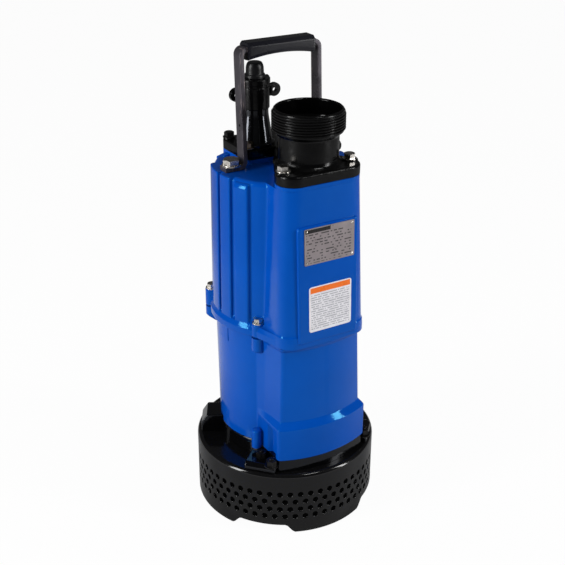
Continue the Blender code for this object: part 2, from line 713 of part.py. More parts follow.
def build_motor_housing(material):
    """Blue motor jacket with its columns, the waterway bulge, the joint ring and the top seats."""
    body_z = MOTOR_FOOT_Z + LUG_INSET
    round_z = MOTOR_TOP_Z - SHOULDER_ROUND
    first_step = SHOULDER_ROUND / 4
    housing = loft("motor_housing", [
        (body_z, motor_outline(0.0)),
        (round_z, motor_outline(1.0)),
        (MOTOR_TOP_Z - first_step, motor_outline(1.0, first_step)),
        (MOTOR_TOP_Z, motor_outline(1.0, SHOULDER_ROUND, COLUMN_TOP_ROUND))])
    ring_z = MOTOR_FOOT_Z + RING_H
    ring = loft("joint_ring", [
        (MOTOR_FOOT_Z, ring_outline()), (ring_z, ring_outline()),
        (ring_z + RING_SLOPE_H, ring_outline(RING_SLOPE_IN))])
    join(housing, ring)
    for bearing, radius, rise in ((FRONT_BOLT_DEG, FRONT_BOLT_R, FRONT_LUG_TOP),
                                  (BACK_BOLT_DEG, BACK_BOLT_R, BACK_JOINT_LUG_TOP)):
        for way in mirrored(bearing):
            join(housing, plate("joint_lug", lug_outline(way, radius), MOTOR_FOOT_Z + LUG_INSET / 2,
                                MOTOR_FOOT_Z + rise))
    pad_back = -BULGE_FRONT + UPPER_CORNER_R
    pad = loft("plate_pad", [
        (z, rounded_rectangle((-PLATE_PAD_HALF, -pad_front(z)), (PLATE_PAD_HALF, pad_back), PLATE_PAD_CORNER, 2))
        for z in (ring_z, MOTOR_TOP_Z - PLATE_PAD_DROP)])
    neck = plate("cover_neck", cover_outline(), MOTOR_TOP_Z - OVERRUN, MOTOR_TOP_Z + COVER_NECK_H)
    join(housing, pad, neck)
    cut(housing, rod("throat_pocket", THROAT_R, (0, DISCHARGE_Y, MOTOR_TOP_Z - THROAT_POCKET),
                     (0, DISCHARGE_Y, MOTOR_TOP_Z + OVERRUN), COARSE_STEPS))
    return dress(housing, material)


def pad_front(z):
    """How far the plate pad's face stands in front of the centre line at a height."""
    share = (z - MOTOR_FOOT_Z) / MOTOR_HOUSING_H
    return BULGE_FRONT + PLATE_PAD_RISE - BULGE_TOP_LEAN * share


def cover_outline():
    """Outline of the head cover and its seat."""
    return rounded_rectangle((-COVER_HALF_X, COVER_FRONT_Y), (COVER_HALF_X, COVER_FRONT_Y + COVER_DEPTH),
                             COVER_CORNER_R)


def flange_outline(inset=0.0):
    """Outline of the three-bolt discharge flange, pulled in by an inset."""
    lobe_x = BULGE_HALF - BULGE_TOP_TAPER + FLANGE_OVERHANG - FLANGE_LOBE_R
    lobe_y = FLANGE_LOBE_R - BULGE_FRONT + BULGE_TOP_LEAN - FLANGE_OVERHANG
    return hull_of_lobes([
        (-lobe_x, lobe_y, FLANGE_LOBE_R - inset), (lobe_x, lobe_y, FLANGE_LOBE_R - inset),
        (0.0, FLANGE_BACK_LOBE_Y, FLANGE_BACK_LOBE_R - inset)])


def build_discharge(coupling_material, gasket_material):
    """Discharge gasket and the cast coupling with its threaded collar."""
    axis = (0.0, DISCHARGE_Y)
    gasket_low = MOTOR_TOP_Z + SEAT_GAP
    gasket = plate("discharge_gasket", flange_outline(GASKET_INSET), gasket_low, gasket_low + DISCHARGE_GASKET)
    cut(gasket, rod("gasket_way", THROAT_R, (*axis, gasket_low - OVERRUN), (*axis, gasket_low + OVERRUN)))
    dress(gasket, gasket_material)

    coupling = plate("discharge_coupling", flange_outline(), FLANGE_FOOT_Z, FLANGE_TOP_Z)
    core_r = THROAT_R / 2
    sunk_z = FLANGE_TOP_Z - COLLAR_BEVEL
    neck = turned("discharge_neck", [
        (core_r, COLLAR_TOP_Z), (COLLAR_R - COLLAR_BEVEL, COLLAR_TOP_Z), (COLLAR_R, COLLAR_TOP_Z - COLLAR_BEVEL),
        (COLLAR_R, COLLAR_FOOT_Z), (NECK_R, COLLAR_FOOT_Z - COLLAR_BEVEL),
        (NECK_R, FLANGE_TOP_Z + NECK_FILLET), (NECK_R + NECK_FILLET, sunk_z), (core_r, sunk_z)], axis)
    bore = turned("discharge_bore", [
        (0.0, COLLAR_TOP_Z + OVERRUN), (COLLAR_BORE_R, COLLAR_TOP_Z + OVERRUN),
        (COLLAR_BORE_R, COLLAR_FOOT_Z + COLLAR_SEAT_RISE), (THROAT_R, COLLAR_FOOT_Z - THROAT_TAPER),
        (THROAT_R, FLANGE_FOOT_Z - OVERRUN), (0.0, FLANGE_FOOT_Z - OVERRUN)], axis)
    lug_z = FLANGE_TOP_Z + NECK_LUG_RISE
    neck_lug = rod("neck_lug", NECK_LUG_R, (*polar(axis, core_r, NECK_LUG_DEG), lug_z),
                   (*polar(axis, NECK_R + NECK_LUG_REACH, NECK_LUG_DEG), lug_z), 12)
    join(coupling, neck, neck_lug)
    cut(coupling, bore)
    return dress(coupling, coupling_material)


def build_head_cover(cover_material, gasket_material):
    """Head cover plate on its gasket."""
    gasket_low = MOTOR_TOP_Z + COVER_NECK_H + SEAT_GAP
    dress(plate("head_gasket", cover_outline(), gasket_low, gasket_low + COVER_GASKET), gasket_material)
    return dress(plate("head_cover", cover_outline(), COVER_FOOT_Z, COVER_TOP_Z), cover_material)


def build_gland(cast_material, rubber_material):
    """Bell-shaped cable gland, its eared clamp, its cap and the rubber cable boot."""
    axis = (GLAND_X, GLAND_Y)
    dress(turned("gland_body", [
        (GLAND_BORE_R, GLAND_SEAM_Z), (GLAND_WAIST_R, GLAND_SEAM_Z), (GLAND_WAIST_R, GLAND_SEAM_Z - GLAND_WAIST_H),
        (GLAND_BELL_R, GLAND_SEAM_Z - GLAND_BELL_DROP),
        (GLAND_BASE_R - GLAND_BASE_EDGE, GLAND_FOOT_Z + 2 * GLAND_BASE_EDGE),
        (GLAND_BASE_R, GLAND_FOOT_Z + GLAND_BASE_EDGE), (GLAND_BASE_R, GLAND_FOOT_Z),
        (GLAND_BORE_R, GLAND_FOOT_Z)], axis, COARSE_STEPS), cast_material)

    clamp = rod("gland_clamp", CLAMP_R, (*axis, CLAMP_FOOT_Z), (*axis, CLAMP_TOP_Z))
    ear_z = CLAMP_FOOT_Z + EAR_RISE
    for side, turn in ((1, 0), (-1, 180)):
        hole_x = side * EAR_REACH
        root_x = side * CLAMP_R / 2
        outline = arc((hole_x, 0.0), EAR_R, turn - 90, turn + 90, 6)
        outline += [(root_x, side * EAR_R), (root_x, -side * EAR_R)]
        ear = plate("gland_ear", outline, -EAR_THICK / 2, EAR_THICK / 2)
        ear.data.transform(Matrix.Translation((*axis, ear_z)) @ Matrix.Rotation(math.pi / 2, 4, "X"))
        hole = rod("gland_ear_hole", EAR_HOLE_R, (GLAND_X + hole_x, GLAND_Y - OVERRUN, ear_z),
                   (GLAND_X + hole_x, GLAND_Y + OVERRUN, ear_z), 12)
        join(clamp, ear)
        cut(clamp, hole)
    cut(clamp, rod("gland_clamp_bore", GLAND_BORE_R, (*axis, CLAMP_FOOT_Z - OVERRUN),
                   (*axis, CLAMP_TOP_Z + OVERRUN)))
    dress(clamp, cast_material)

    cap = rod("gland_cap", CAP_R, (*axis, CAP_FOOT_Z), (*axis, CAP_TOP_Z))
    for turn in (0, 180):
        tab = polar(axis, CAP_R, CAP_TAB_DEG + turn)
        join(cap, rod("gland_cap_tab", CAP_TAB_R, (*tab, CAP_FOOT_Z + LUG_INSET),
                      (*tab, CAP_TOP_Z - LUG_INSET), 12))
    cut(cap, rod("gland_cap_bore", GLAND_BORE_R, (*axis, CAP_FOOT_Z - OVERRUN), (*axis, CAP_TOP_Z + OVERRUN)))
    dress(cap, cast_material)

    boot_top = BOOT_FOOT_Z + BOOT_H
    dress(turned("cable_boot", [
        (0.0, boot_top), (BOOT_TOP_R - BOOT_BEVEL, boot_top), (BOOT_TOP_R, boot_top - BOOT_BEVEL),
        (BOOT_COLLAR_R, BOOT_FOOT_Z + 2 * BOOT_BEVEL), (BOOT_COLLAR_R, BOOT_FOOT_Z), (0.0, BOOT_FOOT_Z)],
        axis, COARSE_STEPS), rubber_material)


def strip_outline(path, thickness, bend_r):
    """Outline of a bent flat bar in side view, from its centre line and inner bend radius."""
    half = thickness / 2
    left, right = [], []
    for i, point in enumerate(path):
        here = Vector(point)
        if i in (0, len(path) - 1):
            other = Vector(path[1]) if i == 0 else Vector(path[-2])
            way = (other - here).normalized() if i == 0 else (here - other).normalized()
            side = Vector((-way.y, way.x)) * half
            left.append(here + side)
            right.append(here - side)
            continue
        way_in = (here - Vector(path[i - 1])).normalized()
        way_out = (Vector(path[i + 1]) - here).normalized()
        turn = math.atan2(way_in.x * way_out.y - way_in.y * way_out.x, way_in.dot(way_out))
        radius = bend_r + half
        back = radius * math.tan(abs(turn) / 2)
        sign = 1 if turn > 0 else -1
        centre = here - way_in * back + Vector((-way_in.y, way_in.x)) * radius * sign
        start = math.atan2(-sign * way_in.x, sign * way_in.y)
        for k in range(6):
            angle = start + turn * k / 5
            ray = Vector((math.cos(angle), math.sin(angle)))
            left.append(centre + ray * (radius - sign * half))
            right.append(centre + ray * (radius + sign * half))
    return [tuple(p) for p in right] + [tuple(p) for p in reversed(left)]


def build_handle(bar_material, grip_material):
    """Bent flat bar handle with out-turned feet and its moulded grip."""
    foot_z = MOTOR_TOP_Z + SEAT_GAP + HANDLE_BAR_THICK / 2
    toe = HANDLE_HALF + HANDLE_FOOT_LENGTH
    path = [(-toe, foot_z), (-HANDLE_HALF, foot_z), (-HANDLE_HALF, HANDLE_TOP_Z),
            (HANDLE_HALF, HANDLE_TOP_Z), (HANDLE_HALF, foot_z), (toe, foot_z)]
    bar = plate("handle_bar", strip_outline(path, HANDLE_BAR_THICK, HANDLE_BEND_R),
                -HANDLE_BAR_WIDTH / 2, HANDLE_BAR_WIDTH / 2)
    bar.data.transform(Matrix.Translation((0.0, HANDLE_Y, 0.0)) @ Matrix.Rotation(math.pi / 2, 4, "X"))
    hole_z = MOTOR_TOP_Z + LEG_HOLE_RISE
    for side in (1, -1):
        cut(bar, rod("leg_hole", LEG_HOLE_R, (side * HANDLE_HALF - OVERRUN, HANDLE_Y, hole_z),
                     (side * HANDLE_HALF + OVERRUN, HANDLE_Y, hole_z), 10))
    dress(bar, bar_material)

    half = HANDLE_HALF - GRIP_END_GAP
    sections = []
    for i in range(GRIP_STATIONS + 1):
        share = 2 * i / GRIP_STATIONS - 1
        drop = GRIP_MID_DROP + (GRIP_END_DROP - GRIP_MID_DROP) * share ** 2
        sections.append((half * share, rounded_rectangle(
            (-GRIP_TOP_RISE, -GRIP_WIDTH / 2), (drop, GRIP_WIDTH / 2), GRIP_EDGE_R, 2)))
    grip = loft("handle_grip", sections)
    grip.data.transform(Matrix.Translation((0.0, HANDLE_Y, HANDLE_TOP_Z)) @ Matrix.Rotation(math.pi / 2, 4, "Y"))
    slot_z = HANDLE_BAR_THICK / 2 + SEAT_GAP
    slot_y = HANDLE_BAR_WIDTH / 2 + SEAT_GAP
    slot = block("grip_slot", (-HANDLE_HALF, HANDLE_Y - slot_y, HANDLE_TOP_Z - slot_z),
                 (HANDLE_HALF, HANDLE_Y + slot_y, HANDLE_TOP_Z + slot_z))
    cut(grip, slot)
    dress(grip, grip_material)
    lean = Matrix.Identity(4)
    lean[1][2], lean[1][3] = HANDLE_LEAN, -HANDLE_LEAN * foot_z
    for piece in (bar, grip):
        piece.data.transform(lean)


def build_rating_plate(material):
    """Thin metal rating plate on its pad, left without lettering."""
    outline = rounded_rectangle((-PLATE_W / 2, -PLATE_H / 2), (PLATE_W / 2, PLATE_H / 2), PLATE_CORNER_R)
    nameplate = plate("nameplate", outline, 0.0, PLATE_THICK)
    lean = math.atan(BULGE_TOP_LEAN / MOTOR_HOUSING_H)
    plate_z = MOTOR_TOP_Z - PLATE_DROP
    nameplate.data.transform(
        Matrix.Translation((0.0, -pad_front(plate_z) - SEAT_GAP, plate_z))
        @ Matrix.Rotation(math.pi / 2 - lean, 4, "X"))
    return dress(nameplate, material)


def main():
    """Build every piece of the pump."""
    blue = paint("blue_paint", (0.005, 0.10, 0.50), 0.25, 0.0)
    black_cast = paint("black_cast_paint", (0.012, 0.012, 0.014), 0.35, 0.0)
    black_sheet = paint("black_sheet_paint", (0.010, 0.010, 0.012), 0.25, 0.0)
    iron = paint("impeller_iron", (0.09, 0.09, 0.095), 0.55, 1.0)
    rubber = paint("black_rubber", (0.015, 0.015, 0.016), 0.7, 0.0)
    bare_steel = paint("dull_steel", (0.30, 0.28, 0.27), 0.45, 1.0)
    stainless = paint("stainless_steel", (0.60, 0.60, 0.58), 0.3, 1.0)
    grip_plastic = paint("black_grip_plastic", (0.018, 0.018, 0.02), 0.5, 0.0)

    build_strainer(black_sheet)
    build_casing(black_cast)
    build_suction_cover(black_cast)
    build_impeller(iron, stainless)
    build_lower_housing(blue)
    build_joint_gasket(rubber)
    build_motor_housing(blue)
    build_discharge(black_cast, rubber)
    build_head_cover(black_cast, rubber)
    build_gland(black_cast, rubber)
    build_handle(bare_steel, grip_plastic)
    build_rating_plate(stainless)


clear_scene()
PARTS = new_collection("dewatering_pump")
CUTTERS = new_collection("cutters")
main()
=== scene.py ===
"""Looks of a portable submersible dewatering pump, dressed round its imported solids.

Metres, +Z up. The origin is on the floor at the strainer's centre line. The
discharge and the rating plate face -Y, and +X is to their right.
"""

from __future__ import annotations

import logging
import math
from dataclasses import dataclass
from enum import Enum
from typing import Callable, Sequence

import bmesh
import bpy
from mathutils import Matrix, Vector


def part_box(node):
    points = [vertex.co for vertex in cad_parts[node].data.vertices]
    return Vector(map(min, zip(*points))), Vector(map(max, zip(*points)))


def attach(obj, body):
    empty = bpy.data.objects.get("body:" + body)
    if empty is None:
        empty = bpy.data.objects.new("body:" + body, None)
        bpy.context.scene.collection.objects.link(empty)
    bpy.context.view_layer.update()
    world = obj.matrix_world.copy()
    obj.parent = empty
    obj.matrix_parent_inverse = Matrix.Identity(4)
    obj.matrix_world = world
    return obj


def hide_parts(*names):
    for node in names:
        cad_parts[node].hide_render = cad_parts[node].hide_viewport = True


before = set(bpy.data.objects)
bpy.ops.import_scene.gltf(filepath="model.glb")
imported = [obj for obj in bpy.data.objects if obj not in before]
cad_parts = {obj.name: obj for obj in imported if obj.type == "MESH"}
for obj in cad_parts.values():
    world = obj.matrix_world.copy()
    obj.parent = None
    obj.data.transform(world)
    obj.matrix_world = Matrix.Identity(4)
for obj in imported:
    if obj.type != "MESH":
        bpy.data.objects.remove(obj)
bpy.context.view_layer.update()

LOG = logging.getLogger("dewatering_pump")
BODY = "root"
FULL_TURN = 2 * math.pi
SEAT_DRAFT = 0.0006

Point = tuple[float, float]
Triple = tuple[float, float, float]
Outline = list[Point]
Ring = list[Triple]
Shape = bmesh.types.BMesh
Socket = bpy.types.NodeSocket


class Slot(Enum):
    """Material slots of the record, one named on each piece."""

    BLUE = "housing_blue"
    CAST = "cast_black"
    SHEET = "strainer_paint"
    BRIGHT = "bright_steel"
    DULL = "handle_steel"
    RUBBER = "black_rubber"
    GRIP = "grip_plastic"
    PLATE = "plate_metal"
    FILM = "decal_film"


def low_of(node: str) -> Vector:
    """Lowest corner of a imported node."""
    return Vector(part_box(node)[0])


def high_of(node: str) -> Vector:
    """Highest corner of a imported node."""
    return Vector(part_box(node)[1])


def middle_of(node: str) -> Vector:
    """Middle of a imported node's box."""
    return (low_of(node) + high_of(node)) / 2


def clamped(value: float) -> float:
    """Value held between 0 and 1."""
    return min(1.0, max(0.0, value))


def polar(centre: Point, radius: float, bearing: float) -> Point:
    """Point at a radius and a bearing, in degrees, from a centre."""
    turn = math.radians(bearing)
    return centre[0] + radius * math.cos(turn), centre[1] + radius * math.sin(turn)


def arc(centre: Point, radius: float, start: float, end: float, steps: int) -> Outline:
    """Points along an arc, both ends included, with the bearings in degrees."""
    return [polar(centre, radius, start + (end - start) * i / steps) for i in range(steps + 1)]


def straight(start: Point, end: Point, steps: int) -> Outline:
    """Points along a straight run, without its two ends."""
    return [(start[0] + (end[0] - start[0]) * i / steps, start[1] + (end[1] - start[1]) * i / steps)
            for i in range(1, steps)]


def rounded_rectangle(low: Point, high: Point, radius: float, steps: int = 8) -> Outline:
    """Counter-clockwise outline of a rectangle with round corners.

    Args:
        low: Its lower left corner.
        high: Its upper right corner.
        radius: Radius of its corners.
        steps: Chords in each corner.

    Returns:
        The outline.
    """
    (x0, y0), (x1, y1) = low, high
    return (arc((x1 - radius, y0 + radius), radius, -90, 0, steps)
            + arc((x1 - radius, y1 - radius), radius, 0, 90, steps)
            + arc((x0 + radius, y1 - radius), radius, 90, 180, steps)
            + arc((x0 + radius, y0 + radius), radius, 180, 270, steps))


def hull_of_lobes(lobes: Sequence[Triple], steps: int = 20) -> Outline:
    """Outline round a counter-clockwise chain of circles, by their outer tangents.

    Args:
        lobes: Circles as (x, y, radius).
        steps: Chords on each circle.

    Returns:
        The closed outline's points.
    """
    bearings = []
    for here, ahead in zip(lobes, [*lobes[1:], lobes[0]]):
        run = math.degrees(math.atan2(ahead[1] - here[1], ahead[0] - here[0]))
        reach = math.hypot(ahead[0] - here[0], ahead[1] - here[1])
        bearings.append(run - 90 + math.degrees(math.asin((here[2] - ahead[2]) / reach)))
    outline: Outline = []
    for i, (x, y, radius) in enumerate(lobes):
        start, end = bearings[i - 1], bearings[i]
        outline += arc((x, y), radius, start, end if end >= start else end + 360, steps)
    return outline


def blended(first: Outline, second: Outline, share: float) -> Outline:
    """Outline part of the way from one outline to another with as many points."""
    return [(a[0] + (b[0] - a[0]) * share, a[1] + (b[1] - a[1]) * share) for a, b in zip(first, second)]


def smoothed(outline: Outline, rounds: int) -> Outline:
    """Outline whose corners melt into fillets, a little more with each round.

    Args:
        outline: The outline.
        rounds: How many times it is smoothed.

    Returns:
        The smoothed outline.
    """
    for _ in range(rounds):
        before, after = outline[-1:] + outline[:-1], outline[1:] + outline[:1]
        outline = [((a[0] + 2 * b[0] + c[0]) / 4, (a[1] + 2 * b[1] + c[1]) / 4)
                   for a, b, c in zip(before, outline, after)]
    return outline


def drawn_in(outline: Outline, inset: float) -> Outline:
    """Counter-clockwise outline moved inwards along its normals.

    Args:
        outline: The outline.
        inset: How far it moves.

    Returns:
        The moved outline.
    """
    moved = []
    for before, here, after in zip(outline[-1:] + outline[:-1], outline, outline[1:] + outline[:1]):
        run = Vector(after) - Vector(before)
        side = Vector((-run.y, run.x)).normalized() * inset
        moved.append((here[0] + side.x, here[1] + side.y))
    return moved


def at_height(outline: Outline, height: float) -> Ring:
    """Lift a flat outline to a height."""
    return [(x, y, height) for x, y in outline]


def grown(rings: Sequence[Ring], cap_first: bool = True, cap_last: bool = True) -> Shape:
    """Grow a solid from its first ring of points, one extrusion for each further ring.

    Args:
        rings: Closed rings with as many points each.
        cap_first: Close the first end.
        cap_last: Close the last end.

    Returns:
        A new bmesh with its faces outwards.
    """
    bm = bmesh.new()
    station = bm.verts.layers.int.new("station")
    first = [bm.verts.new(point) for point in rings[0]]
    for i, vert in enumerate(first):
        vert[station] = i
    edges = [bm.edges.new(pair) for pair in zip(first, first[1:] + first[:1])]
    if cap_first:
        bmesh.ops.contextual_create(bm, geom=edges)
    for ring in rings[1:]:
        geometry = bmesh.ops.extrude_edge_only(bm, edges=edges)["geom"]
        fresh = {item for item in geometry if isinstance(item, bmesh.types.BMVert)}
        for vert in fresh:
            vert.co = ring[vert[station]]
        edges = [item for item in geometry
                 if isinstance(item, bmesh.types.BMEdge) and fresh.issuperset(item.verts)]
    if cap_last:
        bmesh.ops.contextual_create(bm, geom=edges)
    bmesh.ops.recalc_face_normals(bm, faces=bm.faces)
    return bm


def stacked(sections: Sequence[tuple[float, Outline]]) -> Shape:
    """Solid grown upwards through level sections, each (height, outline)."""
    return grown([at_height(outline, height) for height, outline in sections])


def quarter_round(radius: float, steps: int) -> list[Point]:
    """Rounded rim as (drop, inset) pairs, from the wall up to the face."""
    turns = [math.pi / 2 * i / steps for i in range(steps + 1)]
    return [(radius * (1 - math.sin(turn)), radius * (1 - math.cos(turn))) for turn in turns]


def eased_prism(outline: Outline, low: float, high: float, ease: float, foot_ease: float = 0.0,
                steps: int = 3) -> Shape:
    """Upright prism with rounded rims.

    Args:
        outline: Counter-clockwise plan.
        low: Height of the foot.
        high: Height of the top.
        ease: Rounding of the top rim.
        foot_ease: Rounding of the foot's rim.
        steps: Chords in each rounding.

    Returns:
        A new bmesh.
    """
    sections: list[tuple[float, Outline]] = []
    if foot_ease > 0:
        sections = [(low + inset, drawn_in(outline, drop))
                    for drop, inset in quarter_round(foot_ease, steps)[:-1]]
    sections.append((low + foot_ease, outline))
    sections += [(high - drop, drawn_in(outline, inset)) for drop, inset in quarter_round(ease, steps)]
    return stacked(sections)


def spun(profile: Sequence[Point], centre: Point = (0.0, 0.0), steps: int = 96, closed: bool = True) -> Shape:
    """Spin a profile of (radius, height) points about a vertical axis.

    Args:
        profile: The section, in order.
        centre: Where the axis stands.
        steps: Facets in the full turn.
        closed: Join the last point to the first, for a ring.

    Returns:
        A new bmesh with its faces outwards.
    """
    bm = bmesh.new()
    verts = [bm.verts.new((centre[0] + radius, centre[1], height)) for radius, height in profile]
    pairs = list(zip(verts, verts[1:]))
    if closed:
        pairs.append((verts[-1], verts[0]))
    edges = [bm.edges.new(pair) for pair in pairs]
    bmesh.ops.spin(bm, geom=verts + edges, cent=(*centre, 0.0), axis=(0, 0, 1), angle=FULL_TURN,
                   steps=steps, use_merge=True)
    bmesh.ops.remove_doubles(bm, verts=bm.verts, dist=1e-6)
    bmesh.ops.dissolve_degenerate(bm, edges=bm.edges, dist=1e-6)
    bmesh.ops.recalc_face_normals(bm, faces=bm.faces)
    return bm


def eased(corners: Sequence[Triple], steps: int = 5) -> list[Point]:
    """Profile whose corners are rounded.

    Args:
        corners: (radius, height, rounding) of each corner; a rounding of 0 keeps it sharp.
        steps: Chords in each rounding.

    Returns:
        The profile's points.
    """
    points: list[Point] = []
    for i, (x, y, ease) in enumerate(corners):
        if ease == 0.0:
            points.append((x, y))
            continue
        here = Vector((x, y))
        before = (Vector(corners[i - 1][:2]) - here).normalized()
        after = (Vector(corners[(i + 1) % len(corners)][:2]) - here).normalized()
        for k in range(steps + 1):
            share = k / steps
            spot = here + before * ease * (1 - share) ** 2 + after * ease * share ** 2
            points.append((spot.x, spot.y))
    return points


def bolt_seat(centre: Point, radius: float, low: float, high: float, ease: float, steps: int) -> Shape:
    """Low round seat under a bolt, cast with a little draft.

    Args:
        centre: Its middle in plan.
        radius: Radius of its foot.
        low: Height of its foot, inside what carries it.
        high: Height of its face.
        ease: Rounding of its rim.
        steps: Facets round it.

    Returns:
        A new bmesh.
    """
    profile = [(0.0, low, 0), (radius, low, 0), (radius - SEAT_DRAFT, high, ease), (0.0, high, 0)]
    return spun(eased(profile, 3), centre, steps, closed=False)


def mesh_of(name: str, bm: Shape) -> bpy.types.Mesh:
    """Turn a bmesh into a mesh and free it.

    Args:
        name: Name of the mesh.
        bm: The bmesh.

    Returns:
        The mesh.
    """
    mesh = bpy.data.meshes.new(name)
    bm.to_mesh(mesh)
    bm.free()
    return mesh


def linked(name: str, data: bpy.types.ID) -> bpy.types.Object:
    """Put a new object in the scene.

    Args:
        name: Its name.
        data: What it shows.

    Returns:
        The object.
    """
    made = bpy.data.objects.new(name, data)
    bpy.context.scene.collection.objects.link(made)
    return made


def merge(target: Shape, *sources: Shape) -> Shape:
    """Move other bmeshes into one and free them.

    Args:
        target: The bmesh that receives them.
        sources: The bmeshes to move.

    Returns:
        The target.
    """
    for source in sources:
        carrier = mesh_of("carrier", source)
        target.from_mesh(carrier)
        bpy.data.meshes.remove(carrier)
    return target


def placed(bm: Shape, place: Matrix) -> Shape:
    """Move a bmesh by a matrix, its faces kept outwards.

    Args:
        bm: The bmesh.
        place: The matrix.

    Returns:
        The same bmesh.
    """
    bmesh.ops.transform(bm, matrix=place, verts=bm.verts)
    if place.determinant() < 0:
        bmesh.ops.reverse_faces(bm, faces=bm.faces)
    return bm


def with_twin(bm: Shape) -> Shape:
    """Add the mirror image of a shape across the pump's middle plane."""
    twin = bm.copy()
    return merge(bm, placed(twin, Matrix.Diagonal((-1.0, 1.0, 1.0, 1.0))))


def eased_edges(bm: Shape, width: float, angle: float = 40.0, segments: int = 3) -> Shape:
    """Round every edge that is sharper than an angle, in degrees.

    Args:
        bm: The bmesh.
        width: Width of the rounding.
        angle: The angle.
        segments: Facets across the rounding.

    Returns:
        The same bmesh.
    """
    limit = math.radians(angle)
    sharp = [edge for edge in bm.edges if len(edge.link_faces) == 2 and edge.calc_face_angle() > limit]
    bmesh.ops.bevel(bm, geom=sharp, offset=width, offset_type="OFFSET", segments=segments, profile=0.5,
                    affect="EDGES", material=-1, clamp_overlap=True)
    return bm


def rod(radius: float, low: Sequence[float], high: Sequence[float], steps: int = 32,
        ease: float = 0.0) -> Shape:
    """Cylinder between two points, with rounded rims.

    Args:
        radius: Its radius.
        low: Middle of its first end.
        high: Middle of its other end.
        steps: Facets round it.
        ease: Rounding of its rims.

    Returns:
        A new bmesh.
    """
    start, end = Vector(low), Vector(high)
    run = end - start
    bm = bmesh.new()
    bmesh.ops.create_cone(bm, cap_ends=True, segments=steps, radius1=radius, radius2=radius, depth=run.length)
    if ease > 0:
        eased_edges(bm, ease, 60.0)
    aim = run.to_track_quat("Z", "Y").to_matrix().to_4x4()
    return placed(bm, Matrix.Translation((start + end) / 2) @ aim)


def block(low: Sequence[float], high: Sequence[float], ease: float = 0.0, segments: int = 3) -> Shape:
    """Box between two corners, with rounded edges.

    Args:
        low: Its lowest corner.
        high: Its highest corner.
        ease: Rounding of its edges.
        segments: Facets across the rounding.

    Returns:
        A new bmesh.
    """
    size, centre = Vector(high) - Vector(low), (Vector(high) + Vector(low)) / 2
    bm = bmesh.new()
    bmesh.ops.create_cube(bm, size=1.0, matrix=Matrix.Translation(centre) @ Matrix.Diagonal((*size, 1.0)))
    return eased_edges(bm, ease, 40.0, segments) if ease > 0 else bm


def rim_edges(bm: Shape, height: float) -> list[bmesh.types.BMEdge]:
    """Open edges of a shape that lie at a height."""
    return [edge for edge in bm.edges
            if edge.is_boundary and all(abs(vert.co.z - height) < 1e-6 for vert in edge.verts)]


def fill_round(bm: Shape, height: float, centre: Point, radius: float,
               steps: int = 64) -> list[bmesh.types.BMEdge]:
    """Close a shape's open rim at a height, leaving a round hole.

    Args:
        bm: The shape.
        height: Height of the open rim.
        centre: Middle of the hole.
        radius: Radius of the hole.
        steps: Chords round the hole.

    Returns:
        The hole's edges.
    """
    outer = rim_edges(bm, height)
    circle = bmesh.ops.create_circle(bm, cap_ends=False, radius=radius, segments=steps,
                                     matrix=Matrix.Translation((*centre, height)))["verts"]
    inner = list({edge for vert in circle for edge in vert.link_edges})
    bmesh.ops.triangle_fill(bm, use_beauty=True, use_dissolve=False, edges=outer + inner)
    return inner


